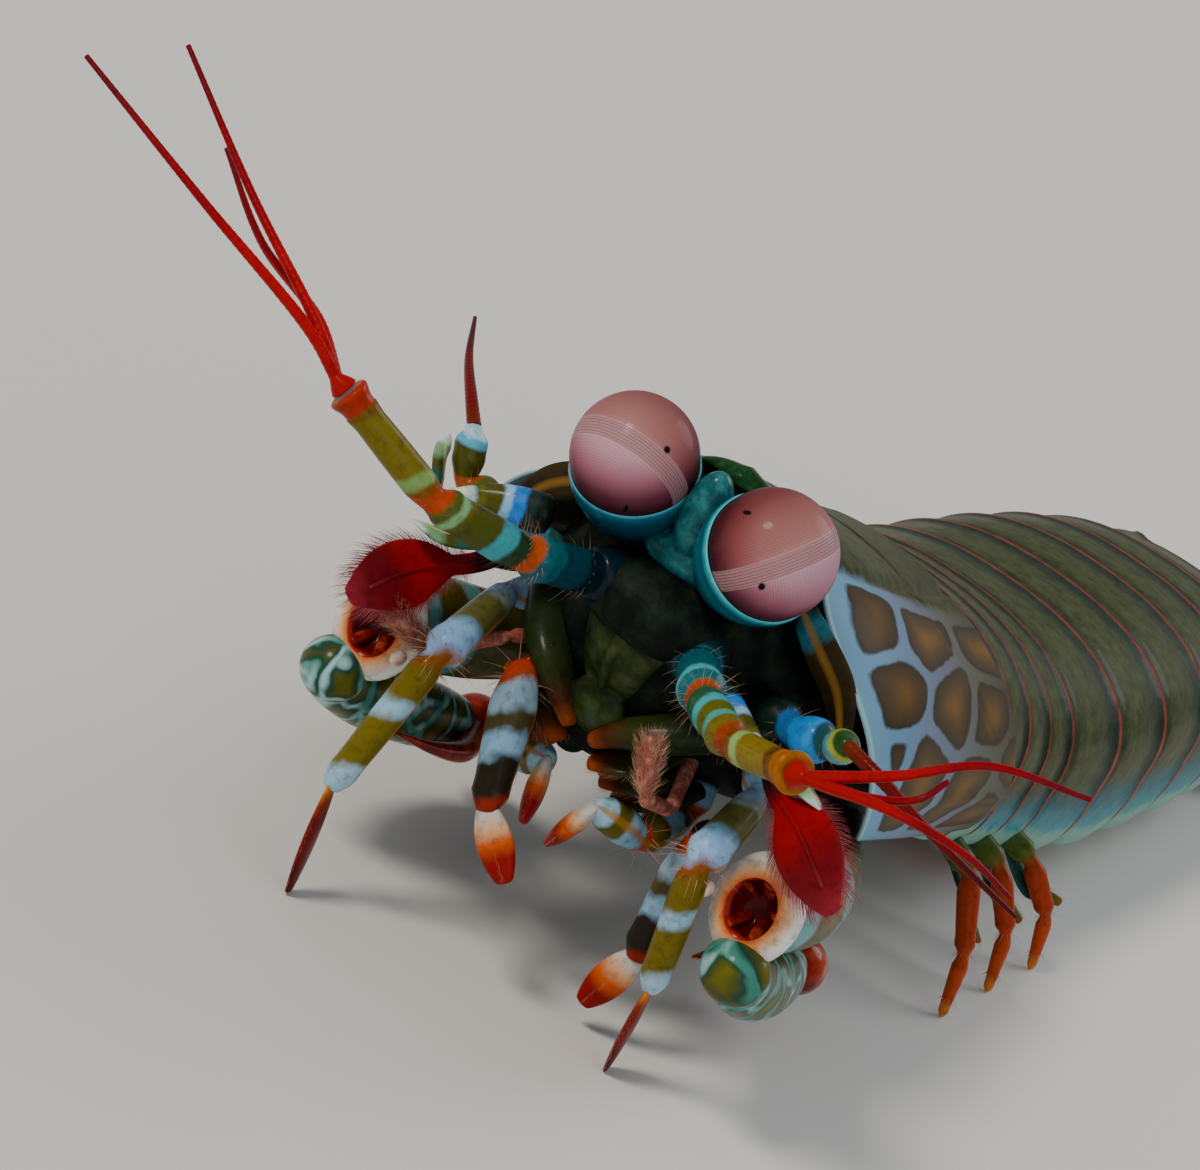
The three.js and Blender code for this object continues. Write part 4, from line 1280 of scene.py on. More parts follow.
@dataclass
class Eyes:
    """Two round corneas in teal cups, and the small somite that carries them."""

    bench: Bench
    height: float = 30.0
    spread: float = 4.7
    radius: float = 3.5
    edge: float = 104.0  # degrees from the eye's axis to the cornea's edge
    half_band: float = 8.0  # degrees
    row_relief: float = 0.008  # how far the band's rows and the lenses stand out
    # Radius of the cup, and height over the cornea's edge
    cup_profile: tuple[tuple[float, float], ...] = (
        (0.3, -4.35), (1.6, -4.15), (2.6, -3.3), (3.2, -2.1), (3.52, -1.0),
        (3.6, -0.4), (3.56, -0.02), (3.47, 0.1), (3.3, -0.15), (1.0, -0.2),
    )
    aims: Pair[EyeAim] = (
        EyeAim((0.5, -0.58, 0.64), (-0.725, -0.214, 0.654), -3.4, ((-52.7, 56.3), (-51.2, -11.6))),
        EyeAim((-0.1, -0.7, 0.71), (-0.124, 0.604, 0.787), -13.0, ((44.1, 12.4), (54.0, -50.7))),
    )

    # Teal bands of each cup, with painted shade towards its foot and a painted highlight along its lip
    cup_bands: Pair[Stops] = (
        (
            (0.0, "#042c38"), (0.2, "#055060"), (0.38, "#067082"), (0.5, "#04566a"),
            (0.58, "#0896a4"), (0.69, "#62ccd4"), (0.76, "#04262e"),
        ),
        (
            (0.0, "#0a3448"), (0.2, "#0a3c52"), (0.38, "#0a4860"), (0.5, "#0a5470"), (0.6, "#0a6c86"),
            (0.7, "#5cc0cc"), (0.76, "#04262e"),
        ),
    )

    def centre(self, side: Side) -> Array:
        """The middle of one eye."""
        return np.array([side.value * self.spread, 0.0, self.height])

    def cornea(self, side: Side) -> None:
        """Make one cornea, its rings parallel to its band and closest there."""
        aim = side.of(self.aims)
        gaze, pole = unit(np.array(aim.gaze)), unit(np.array(aim.pole))
        ahead = unit(gaze - gaze.dot(pole) * pole)
        beside = np.cross(pole, ahead)
        half = self.half_band + 1.0
        low, high = aim.level - half, aim.level + half
        degrees = [
            np.linspace(-88, low, 34, endpoint=False), np.linspace(low, high, 44, endpoint=False),
            np.linspace(high, 88, 34),
        ]
        tilt = np.radians(np.concatenate(degrees))[:, None, None]
        turn = np.linspace(0, 2 * np.pi, 160, endpoint=False)[None, :, None]
        rings = np.cos(tilt) * (np.cos(turn) * ahead + np.sin(turn) * beside) + np.sin(tilt) * pole
        floor = math.cos(math.radians(self.edge))
        depth = rings @ gaze
        sunk = np.where(depth < floor, floor - depth, 0.0)[..., None]
        rings = (rings + sunk * gaze) * self.radius + self.centre(side)
        shape = Shape.from_rings(rings, np.linspace(0, 1, len(rings)), (0.02, 0.02))
        finish = FacetedCornea(
            f"faceted_cornea_{side}", roughness=0.5, coat=0.16, bump=self.row_relief, pupils=aim.pupils,
            band=self.half_band,
        )
        name = f"cornea_lens_{side}"
        made = link(name, self.bench.mesh(name, [shape]))
        values = {
            "Centre": self.bench.pose.metres(self.centre(side)).tolist(), "Pole": pole.tolist(),
            "Ahead": ahead.tolist(), "Beside": beside.tolist(), "Gaze": gaze.tolist(),
            "Edge": math.radians(self.edge), "Level": math.radians(aim.level),
            "Half width": math.radians(self.half_band), "Rows": 6.0, "Relief": self.row_relief * MM,
            "Material": finish.material(),
        }
        made.data = self.bench.cornea_tree.run(made, values)
        self.bench.settle(made, Slot.CORNEA, [f"cornea_{side}"])

    def cup(self, side: Side) -> None:
        """Make one cup with its lip, and the stalk down to the head."""
        gaze = unit(np.array(side.of(self.aims).gaze))
        low = math.cos(math.radians(self.edge)) * self.radius
        corners = [(radius, low + height) for radius, height in self.cup_profile]
        cup = turned(corners, self.centre(side), gaze, 60, 96)
        foot = self.centre(side) + gaze * (low - 2.4)
        root = np.array([side.value * 1.5, 2.3, 27.4])
        path = [foot, (foot + root) / 2 + (0, 0.3, -0.3), root]
        neck = Sweep(path, taper(2.1, 1.35, 16), taper(2.1, 1.5, 16)).shape(32)
        finish = BandedChitin(
            # Smooth living shell with a blue-green sheen; painted shade darkens it down the cup, and a
            # painted highlight lies along its lip as a pale line
            f"glossy_teal_cup_{side}",
            roughness=0.26,
            coat=0.45,
            bump=0.006,
            bands=side.of(self.cup_bands),
            softness=0.05,
            wobble=0.02,
            shade="#86acb4",
        )
        shapes = [cup, neck.ranged(0, 0.2)]
        self.bench.piece(f"eye_cup_{side}", shapes, finish, Slot.CUP, [f"eye_stalk_{side}"])

    def post(self) -> None:
        """Make the somite between the eyes, with its two short horns."""
        size = taper(1.5, 0.12, 14, 1.3)
        horns = [
            Sweep([(0, 1.9, 26.4), (sign * 1.6, 1.6, 26.5), (sign * 2.9, 1.0, 26.9)], size, size)
            for sign in (-1, 1)
        ]
        finish = MottledChitin(
            "teal_post_chitin",  # thin smooth shell, lighter where it is stretched over the ganglia
            tones=((0.3, "#0a4048"), (0.5, "#145c62"), (0.7, "#2c8484")),
            roughness=0.28,
            coat=0.4,
        )
        post = egg((0, 1.2, 28.9), (0, -0.3, 1), (1.35, 1.5, 3.2))
        shapes = [post, *(horn.shape(20) for horn in horns)]
        self.bench.piece("eye_post", shapes, finish, Slot.CUP, ["ophthalmic_somite"], 0.12)

    def build(self) -> None:
        """Make both eyes and the post."""
        for side in Side:
            self.cornea(side)
            self.cup(side)
        self.post()


@dataclass
class HeadShell:
    """The head's skin, the carapace over it and the plate in front."""

    bench: Bench
    core: Stations = Stations(
        [
            [0.4, 22.0, 1.2, 1.0, 1.6], [1.6, 22.3, 4.2, 3.3, 4.7], [4, 21.8, 6.6, 5.8, 6.2],
            [8, 20.6, 9.2, 8.3, 6.9], [16, 18.4, 11.7, 9.8, 7.0], [26, 16.6, 12.6, 9.3, 6.4],
            [37.8, 14.95, 12.4, 8.5, 5.8],
        ]
    )
    shield: Stations = Stations(
        [
            [5, 19.3, 14.0, 12.0], [12, 18.4, 14.3, 11.6], [22, 16.9, 14.5, 10.9],
            [32, 15.6, 14.6, 10.4], [40, 14.7, 14.5, 10.2],
        ]
    )
    plate: Stations = Stations(
        [[2.9, 0.9, 1.6, 0.5], [3.5, 2.3, 2.0, 0.8], [4.7, 3.7, 1.8, 0.9], [5.9, 4.3, 1.25, 0.9]]
    )
    chest_lean: float = 0.17
    shield_spread: float = 103.0  # degrees from the middle line to the side edge
    shield_thickness: float = 0.7
    # Middles of the spots in the photograph: across from 0 to 1, along from 0 to 1
    photo_spots: tuple[tuple[float, float], ...] = (
        (0.417, 0.148), (0.365, 0.48), (0.585, 0.155), (0.577, 0.56),
    )
    spot_rows: tuple[float, ...] = (0.38, 0.57, 0.745, 0.92)  # across, of the other spots
    spot_gap: float = 3.1  # least distance from one spot's middle to another's
    squeeze: float = 0.4  # the spots are longer than wide
    jaw: tuple[Point, ...] = ((6.2, 4.6, 19.6), (4.4, 2.2, 18.0), (2.3, 1.3, 16.6), (0.9, 1.5, 15.2))
    leaf: tuple[Point, ...] = ((4.6, 4.4, 16.4), (3.0, 2.6, 15.0), (1.2, 2.0, 13.8))
    leaf_step: Point = (0.7, 1.2, -0.9)  # from one mouth leaf to the next
    cheek: tuple[Point, ...] = ((6.4, 4.2, 27.3), (8.4, 4.5, 25.9), (10.2, 5.1, 24.4), (11.4, 5.5, 22.6))

    def skin(self) -> None:
        """Make the head's skin from the chest, the brow and the mouth."""
        places = self.core.spread(60)
        sizes = self.core.at(places)
        angle = np.linspace(0, 2 * np.pi, 64, endpoint=False)
        height, width, rise, depth = (sizes[:, k : k + 1] for k in range(4))
        lift = np.where(np.sin(angle) > 0, rise, depth) * np.sin(angle)
        lean = (self.chest_lean * places / places[-1])[:, None]
        rings = np.stack([width * np.cos(angle), places[:, None] + lean * lift, height + lift], axis=-1)
        parts = [
            Shape.from_rings(rings, np.linspace(0, 1, len(places)), (0.3, 0.1)),
            egg((0, 1.0, 23.4), (0, 0, 1), (4.6, 2.8, 2.4)),
            egg((0, 3.2, 15.6), (0, -0.4, 1), (2.2, 1.6, 2.1)),
            egg((2.0, 5.2, 14.3), (0.5, 0.2, 1), (1.45, 1.8, 2.15)),
            egg((-2.0, 5.2, 14.3), (-0.5, 0.2, 1), (1.45, 1.8, 2.15)),
        ]
        finish = MottledChitin(
            "dark_head_skin",  # soft leathery skin, its own dark olive painted near black as the shade between the shells
            tones=((0.3, "#060a09"), (0.46, "#0e1612"), (0.6, "#18241a"), (0.75, "#2a3418")),
            blot=1.6,
            roughness=0.55,
            coat=0.0,
            bump=0.05,
        )
        self.bench.piece("head_skin_body", parts, finish, Slot.SKIN, ["cephalothorax", "mouth"], 0.3)

    def face(self) -> None:
        """Make the plates round the mouth, the jaws and the cheeks under the carapace's edge."""
        rows = np.linspace(0, 1, 24)
        arch = np.sin(np.pi * mix(0.12, 0.9, rows))
        front = (0, -1, 0)
        brow = [(0, 0.2, 22.4), (0, 0.3, 20.4), (0, 1.2, 18.3)]
        keel = [(0, -0.45, 22.3), (0, -0.4, 20.4), (0, 0.5, 18.2)]
        lip = [(0, 1.3, 18.4), (0, 1.2, 16.9), (0, 2.0, 15.2)]
        plates = [
            Sweep(brow, 2.9 - 1.3 * rows, 0.8 * arch, front).shape(24),
            Sweep(keel, 0.5 - 0.2 * rows, 0.45 * arch, front).shape(24),
            Sweep(lip, 1.9 * arch**0.7, 0.7 * arch, front).shape(24),
        ]
        olive = MottledChitin(
            "olive_face_chitin",  # thin plates over the dark skin, olive with a teal bloom
            tones=((0.3, "#0e1a12"), (0.48, "#22300f"), (0.62, "#37401a"), (0.74, "#1c5450")),
            blot=1.3,
            bump=0.02,
        )
        self.bench.piece("face_plates", plates, olive, Slot.SKIN, grain=0.14, passes=3)
        jaws, leaves, cheeks, tufts = [], [], [], []
        for side in Side:
            jaw = Sweep(side.mirror(self.jaw), taper(1.8, 0.6, 24, 1.4), taper(1.3, 0.5, 24, 1.4))
            jaws.append(jaw.shape(24))
            cheek = Sweep(side.mirror(self.cheek), 0.5 + 0.6 * arch, 0.25, front)
            cheeks.append(cheek.shape(24))
            for step in range(3):
                corners = np.array(side.mirror(self.leaf))
                corners = corners + np.array(side.mirror([self.leaf_step])) * step
                leaf = Sweep(corners, 0.3 + 0.8 * arch, 0.22 + 0.1 * arch, (0, -0.5, 1))
                leaves.append(leaf.shape(20))
                tufts.append(fringe(leaf, 46, 0.7, 0.3))
        horn = BandedChitin(
            # Heavy jaw horn: olive at the cheek, chestnut where it bites
            "chestnut_jaw_chitin",
            bands=((0.0, "#1c2a14"), (0.45, "#2c3412"), (0.7, "#4c2408"), (0.88, "#8c3c0c")),
            softness=0.08,
        )
        self.bench.piece("jaws", jaws, horn, Slot.SKIN)
        self.bench.piece("mouth_leaves", leaves, horn, Slot.SKIN)
        self.bench.bristles("mouth_hairs", tufts, SETA, Slot.SKIN, 0.016, 0.3, 0.2)
        plate = BandedChitin(
            # Smooth plate in the carapace's shade, with a teal patch and a golden rear edge
            "shaded_cheek_chitin",
            bands=((0.0, "#14201c"), (0.1, "#2c7484"), (0.26, "#3a2c10"), (0.8, "#241c0c")),
            edge="#9c7028",
            softness=0.05,
            wobble=0.08,
        )
        self.bench.piece("cheek_plates", cheeks, plate, Slot.SKIN)

    def shield_points(self, across: Array, along: Array, inset: float) -> Array:
        """Points of the carapace.

        Args:
            across: From -1 to 1 over the back.
            along: From 0 in front to 1 behind.
            inset: How deep under the outer surface.

        Returns:
            The points.
        """
        wide = np.abs(across)
        lobe = 1.5 * bell(wide - 0.54, 0.23)
        front = 6.3 - 1.2 * wide**1.5 + 6.6 * wide**4.2 - lobe
        back = 34.2 + 5.2 * wide**1.6 - 5 * wide**9
        y = mix(front, back, along)
        sizes = self.shield.at(y)
        narrow = 1 - 0.24 * bell(wide - 0.4, 0.2) * (1 - soft_step((y - 4) / 12))
        groove = 0.3 * bell(wide - mix(0.29, 0.2, along), 0.02) * soft_step((along - 0.02) * 9)
        cross = 0.25 * bell(along - 0.62 - 0.5 * wide**2, 0.018) * bell(wide, 0.4)
        keel = 0.2 * bell(wide - 0.84, 0.03) * soft_step(along * 4)
        level = inset + groove + cross - keel
        angle = across * math.radians(self.shield_spread)
        sine, cosine = np.sin(angle), np.cos(angle)
        return np.stack(
            [
                (sizes[..., 1] * narrow - level) * np.sign(sine) * np.abs(sine) ** 1.04, y,
                sizes[..., 0] + (sizes[..., 2] - level) * np.sign(cosine) * np.abs(cosine) ** 1.04,
            ],
            axis=-1,
        )

    def spot_middles(self) -> Array:
        """Where the spots lie: the photograph's on both sides, and rows of others.

        Returns:
            Points in the space in which the spots are round.
        """
        dice = np.random.default_rng(4)
        stretch = (1, self.squeeze, 1)
        places = [self.shield_points(np.array(u), np.array(v), 0.0) * stretch for u, v in self.photo_spots]
        for row, across in enumerate(self.spot_rows):
            for step in range(4):
                along = 0.16 + 0.33 * (step - 0.5 * (row % 2 == 0)) + dice.uniform(-0.04, 0.04)
                turn = across + dice.uniform(-0.03, 0.03)
                place = self.shield_points(np.array(turn), np.array(along), 0.0) * stretch
                if min(np.linalg.norm(place - other) for other in places) > self.spot_gap:
                    places.append(place)
        found = np.array(places)
        return np.vstack([found, found * (-1, 1, 1)])

    def cell_depths(self, points: Array, across: Array, along: Array) -> Array:
        """How deep in a spot's cell each point lies.

        Args:
            points: Points of the carapace.
            across: How far round from the middle line they are, from 0 to 1.
            along: How far back they are, from 0 to 1.

        Returns:
            Millimetres from the edge of the cell, with rounded corners.
        """
        middles = self.spot_middles()
        away = ((points[:, None] * (1, self.squeeze, 1) - middles) ** 2).sum(axis=-1)
        near = away.argmin(axis=1)
        nearest = np.take_along_axis(away, near[:, None], axis=1)
        apart = np.linalg.norm(middles[near][:, None] - middles, axis=-1)
        far = 9.0  # for the cell's own middle, which has no edge against itself
        with np.errstate(divide="ignore", invalid="ignore"):
            edges = np.where(apart > 0, (away - nearest) / (2 * apart), far)
        arc = math.radians(self.shield_spread) * 13
        limits = [(across - 0.3) * arc, (1 - across) * arc - 0.5, along * 10.0 - 0.6]
        edges = np.hstack([edges, np.stack(limits, axis=-1)])
        rounding = 0.22
        return -rounding * np.log(np.exp(-edges / rounding).sum(axis=1))

    def carapace(self) -> None:
        """Make the carapace with its thickness, grooves and spots."""
        columns, rows = 221, 111
        u, v = np.meshgrid(np.linspace(-1, 1, columns), np.linspace(0, 1, rows) ** 1.3)
        thick = self.shield_thickness * mix(0.3, 1.0, soft_step(v / 0.12))
        outer = self.shield_points(u, v, 0.0)
        inner = self.shield_points(u[:, ::-1], v, thick)
        size = 2 * columns
        points = np.concatenate([outer, inner], axis=1).reshape(-1, 3)
        starts = np.arange(rows - 1)[:, None] * size
        here = np.arange(size)
        after = (here + 1) % size
        corners = [starts + here, starts + after, starts + size + after, starts + size + here]
        faces = [tuple(quad) for quad in np.stack(corners, axis=-1).reshape(-1, 4).tolist()]
        for base in (0, (rows - 1) * size):
            for i in range(columns - 1):
                faces.append((base + i, base + i + 1, base + size - 2 - i, base + size - 1 - i))
        across = np.abs(np.concatenate([u, u[:, ::-1]], axis=1)).ravel()
        along = np.concatenate([v, v], axis=1).ravel()
        values = {
            "cell": self.cell_depths(points, across, along), "across": across, "along": along,
            "under": np.concatenate([0 * u, 0 * u + 1], axis=1).ravel(),
        }
        finish = SpottedCarapace("spotted_carapace_chitin", roughness=0.5, coat=0.05)
        shapes = [Shape(points, faces, values)]
        self.bench.piece("carapace_shield", shapes, finish, Slot.CARAPACE, ["carapace"])

    def rostral_plate(self) -> None:
        """Make the green plate behind the eyes."""
        places = self.plate.spread(26)
        sizes = self.plate.at(places)
        turn = np.linspace(0, 2 * np.pi, 56, endpoint=False)
        x = sizes[:, :1] * np.sign(np.cos(turn)) * np.abs(np.cos(turn)) ** 0.8
        lift = 0.5 * sizes[:, 2:] * np.sin(turn)
        ridge = 0.16 * bell(x, 0.4) * (np.sin(turn) > 0)
        z = 30.0 + sizes[:, 1:2] - 0.085 * x * x - 0.5 * sizes[:, 2:] + lift + ridge
        rings = np.stack([x, np.repeat(places[:, None], len(turn), axis=1), z], axis=-1)
        finish = MottledChitin(
            "leaf_green_plate",  # thick glossy chitin, even green with a paler bloom
            tones=((0.3, "#0a2c12"), (0.5, "#12401c"), (0.7, "#22602c")),
            roughness=0.32,
            coat=0.3,
        )
        shape = Shape.from_rings(rings, np.linspace(0, 1, len(places)), (0.15, 0.05))
        self.bench.piece("rostral_shield", [shape], finish, Slot.ROSTRUM, ["rostral_plate"])

    def build(self) -> None:
        """Make the skin, the face, the carapace and the rostral plate."""
        self.skin()
        self.face()
        self.carapace()
        self.rostral_plate()


@dataclass
class Antennules:
    """The inner feelers: three banded stretches and three red whips each."""

    bench: Bench
    widths: tuple[float, ...] = (2.3, 2.3, 1.85, 1.6)
    whip_sizes: Point = (0.33, 0.14, 0.42)  # half width at the root and the tip, and the rings' pitch
    # Radius and height of the points that each profile bends through
    collar_profile: tuple[tuple[float, float], ...] = (
        (0.3, -0.9), (0.82, -0.85), (0.92, -0.3), (1.1, 0.3), (0.95, 0.45), (0.3, 0.4),
    )
    cuff_profile: tuple[tuple[float, float], ...] = (
        (1.5, -2.0), (1.75, -1.0), (1.6, 0.0), (1.35, 0.7), (1.0, 0.9),
    )
    seat_profile: tuple[tuple[float, float], ...] = (
        (0.3, -0.2), (0.72, -0.15), (0.66, 0.05), (0.5, 0.35), (0.25, 0.75),
    )
    # Share of the way along, number of hairs, their length and how far they point ahead
    tufts: tuple[tuple[float, int, float, float], ...] = (
        (0.12, 16, 1.3, 0.7), (0.3, 22, 1.1, 0.5), (0.35, 20, 1.5, 0.15),
        (0.63, 12, 0.7, 0.6), (0.68, 9, 0.8, 0.2),
    )
    joints: Pair[tuple[Point, ...]] = (
        ((3.6, 1.2, 22.6), (6.6, -3.7, 22.5), (10.4, -8.1, 23.0), (15.0, -12.6, 25.2)),
        ((-2.6, 0.2, 23.6), (-5.2, -5.9, 23.8), (-9.1, -10.4, 24.8), (-14.3, -13.6, 27.7)),
    )
    paths: Pair[tuple[tuple[Point, ...], ...]] = (
        (
            ((19.0, -10.6, 27.5), (22.0, -8.0, 29.8), (26.4, -5.0, 30.5)),
            ((18.0, -11.7, 25.8), (20.3, -9.8, 26.9), (21.0, -9.3, 28.4)),
            ((19.8, -11.2, 26.1), (23.7, -9.0, 25.8), (26.2, -7.6, 24.9)),
        ),
        (
            ((-17.5, -14.5, 29.5), (-25.5, -15.9, 32.2), (-35.1, -16.8, 35.2)),
            ((-17.9, -13.9, 29.9), (-24.6, -13.4, 33.2), (-32.5, -12.8, 37.7)),
            ((-18.0, -13.4, 29.9), (-24.0, -11.6, 31.0), (-30.0, -8.9, 33.3)),
        ),
    )
    bands: Pair[Stops] = (
        (
            (0.0, "#08303a"), (0.35, "#0c5c68"), (0.7, "#52b8c2"), (0.84, "#126c76"),
            (0.97, "#b04408"), (1.12, "#2a5c3c"), (1.36, "#3cacb4"), (1.5, "#5e620c"),
            (1.68, "#4aa896"), (1.8, "#70640e"), (1.93, "#923808"), (2.12, "#7c420a"),
            (2.22, "#90b466"), (2.34, "#826e08"), (2.76, "#6c4006"), (2.9, "#a45e08"),
        ),
        (
            (0.0, "#051e28"), (0.42, "#093c48"), (0.7, "#0d5e68"), (0.93, "#b4480c"),
            (1.04, "#243e22"), (1.2, "#3898a4"), (1.4, "#464c0e"), (1.7, "#5c5610"),
            (1.77, "#80b47c"), (1.85, "#4c5616"), (1.94, "#b03c08"), (2.1, "#7c500c"),
            (2.17, "#7a9c56"), (2.27, "#70640c"), (2.84, "#6c4a06"), (2.95, "#a8260a"),
        ),
    )

    def stalk(self, side: Side) -> None:
        """Make the banded stretches, the cuff, the collar and the short hairs at the joints."""
        corners = side.of(self.joints)
        rod = Limb(corners, self.widths, self.widths, neck=0.8, rim=0.14).sweep()
        joints = np.array(corners)
        ahead = unit(joints[3] - joints[2])
        foot = unit(joints[1] - joints[0])
        collar = turned(self.collar_profile, joints[3], ahead, 20, 40).ranged(3.0, 3.0)
        cuff = turned(self.cuff_profile, joints[0] + foot * 0.7, foot, 20, 40).ranged(0, 0.4)
        finish = BandedChitin(
            # Tubes of thin shell whose rings of colour look painted under a wet varnish
            f"banded_antennule_chitin_{side}",
            bands=side.of(self.bands),
            length=3.0,
            softness=0.02,
            slant=0.04,
            coat=0.25,
        )
        shapes = [rod.shape(32), collar, cuff]
        name = f"antennule_stalk_{side}"
        self.bench.piece(name, shapes, finish, Slot.FEELER, [f"antennule_{side}"])
        tufts = [collar_tuft(rod, *numbers) for numbers in self.tufts]
        self.bench.bristles(f"antennule_hairs_{side}", tufts, SETA, Slot.FEELER, 0.018)

    def whips(self, side: Side) -> None:
        """Make the three whips and the seat that they grow from."""
        joints = np.array(side.of(self.joints))
        ahead = unit(joints[3] - joints[2])
        place = joints[3] + ahead * (0.5 + GAP)
        finish = BandedChitin(
            # Ringed horn filled with red pigment: it glows at the root and thins to a clear tip
            "scarlet_whip",
            bands=((0.0, "#a00c06"), (0.06, "#a8040e"), (0.45, "#8c0412"), (0.8, "#700a18")),
            softness=0.08,
            wobble=0.03,
            shade="#b08078",
            coat=0.1,
            glow=0.06,
        )
        seat = turned(self.seat_profile, place, ahead, 16, 32).ranged(0, 0)
        nodes = [f"antennule_whips_{side}"]
        self.bench.piece(f"whip_seat_{side}", [seat], finish, Slot.WHIP, nodes)
        start = place + ahead * 0.45
        for number, corners in enumerate(side.of(self.paths), 1):
            path = smooth_path([start, *corners], 90)
            self.bench.whip(f"antennule_whip_{number}_{side}", path, finish, nodes, self.whip_sizes)

    def build(self) -> None:
        """Make both antennules."""
        for side in Side:
            self.stalk(side)
            self.whips(side)


@dataclass
class Antennae:
    """The outer feelers: a base with leaf-shaped spines, one whip and a broad fringed scale."""

    bench: Bench
    joints: tuple[Point, ...] = ((7.0, 4.2, 21.4), (10.0, 1.4, 22.3), (12.8, 0.4, 23.2))
    ends: Pair[Point] = ((13.9, -1.6, 24.4), (-13.9, 0.6, 25.9))
    widths: tuple[float, ...] = (2.4, 2.5, 2.0, 1.5)
    whips: Pair[tuple[Point, ...]] = (
        ((16.4, -2.2, 24.2), (20.0, -0.5, 22.8), (25.0, 3.5, 20.6)),
        ((-15.4, 2.0, 26.6), (-18.5, 5.8, 27.4), (-21.8, 11.0, 28.2)),
    )
    scales: Pair[tuple[Point, ...]] = (
        ((9.0, 2.8, 21.6), (10.4, 2.2, 19.2), (13.6, 0.4, 18.4), (18.0, -2.4, 17.0)),
        ((-9.0, 2.8, 21.6), (-10.2, 2.0, 19.5), (-11.7, -1.8, 18.2), (-12.6, -6.0, 16.2)),
    )
    bands: Pair[Stops] = (
        (
            (0.0, "#0c1412"), (0.6, "#10241a"), (0.96, "#1c64a4"), (1.2, "#2484d0"), (1.6, "#2c8cd4"),
            (1.8, "#1c4a54"), (1.95, "#1c5c60"), (2.2, "#5ca0a8"), (2.72, "#98a838"), (2.84, "#244c1c"),
        ),
        (
            (0.0, "#1c2c22"), (0.3, "#2c5c58"), (0.55, "#4c9cc8"), (0.86, "#9cc8e8"),
            (1.05, "#4a5218"), (1.4, "#70b0bc"), (1.62, "#565c18"), (1.9, "#a04a14"),
            (2.08, "#4c4c10"), (2.68, "#5cb0cc"), (2.86, "#a8d4e4"),
        ),
    )
    # Spines on each base: path and half width
    leaves: Pair[tuple[tuple[tuple[Point, ...], float], ...]] = (
        ((((10.2, 2.0, 20.6), (12.0, 1.5, 20.1), (13.8, 0.9, 19.9)), 0.85),),
        (
            (((-10.4, 0.2, 20.6), (-11.75, -1.2, 20.3), (-13.1, -2.4, 20.5)), 0.8),
            (((-13.5, -0.8, 22.4), (-14.2, -0.9, 23.9), (-14.4, -0.8, 25.2)), 0.55),
        ),
    )
    # The path of the horn on each root
    horns: Pair[tuple[Point, ...]] = (
        ((5.3, 1.2, 21.6), (7.9, 0.2, 21.1), (10.4, -0.9, 21.1)),
        ((-7.5, 0.0, 24.4), (-9.8, -0.9, 23.85), (-12.3, -2.1, 22.9)),
    )
    horn_bands: Stops = (
        (0.0, "#121c18"), (0.14, "#1c3430"), (0.26, "#2c80dc"), (0.42, "#8cc0e4"),
        (0.52, "#4c4c10"), (0.7, "#5c6018"), (0.78, "#a8d0d8"), (0.86, "#e4e0c8"),
    )
    whip_sizes: Point = (0.4, 0.12, 0.4)  # half width at the root and the tip, and the rings' pitch
    scale_width: float = 1.9

    def base(self, side: Side) -> None:
        """Make the base, its spines and the hairs at its joints."""
        joints = (*side.mirror(self.joints), side.of(self.ends))
        rod = Limb(joints, self.widths, self.widths).sweep()
        finish = BandedChitin(
            # Thin shell, milky blue over olive, like glazed porcelain
            f"sky_blue_antenna_chitin_{side}",
            bands=side.of(self.bands),
            length=3.0,
            slant=0.08,
            coat=0.4,
        )
        name = f"antenna_base_{side}"
        self.bench.piece(name, [rod.shape(28)], finish, Slot.LIMB, [f"antenna_{side}"])
        profile = 0.12 + np.sin(np.pi * taper(0.22, 0.97, 18)) ** 0.8
        leaves = [
            Sweep(corners, half * profile, 0.3 * profile).shape(18)
            for corners, half in side.of(self.leaves)
        ]
        spine = BandedChitin(
            # Leaf spine: pale green glaze with an olive saddle and a white tip
            "pale_spine_chitin",
            bands=((0.0, "#2c6458"), (0.3, "#4c5014"), (0.5, "#78a474"), (0.8, "#d4e8e0")),
            edge="#c8d090",
            softness=0.06,
        )
        self.bench.piece(f"antenna_spines_{side}", leaves, spine, Slot.LIMB)
        horn = BandedChitin(
            # Horn on the antenna's root: bright blue glaze, an olive saddle and a cream tip
            "blue_horn_chitin", bands=self.horn_bands, slant=0.06, softness=0.02, coat=0.25
        )
        size = 1.0 - 0.92 * np.linspace(0, 1, 24) ** 2.4
        cone = Sweep(side.of(self.horns), 1.15 * size, 0.9 * size, (0, -1, 0.2))
        self.bench.piece(f"antenna_horn_{side}", [cone.shape(28)], horn, Slot.LIMB)
        tufts = [collar_tuft(rod, 0.31, 12, 1.1, 0.3), collar_tuft(rod, 0.64, 10, 0.9, 0.5)]
        self.bench.bristles(f"antenna_hairs_{side}", tufts, SETA, Slot.LIMB, 0.018)

    def whip(self, side: Side) -> None:
        """Make the single dark red whip."""
        finish = BandedChitin(
            # Ringed horn, darker than the inner whips
            "crimson_whip",
            bands=((0.0, "#6c2408"), (0.1, "#6c0808"), (0.6, "#52060c")),
            softness=0.05,
            shade="#b08078",
        )
        path = smooth_path([side.of(self.ends), *side.of(self.whips)], 80)
        self.bench.whip(f"antenna_whip_{side}", path, finish, [f"antenna_{side}"], self.whip_sizes)

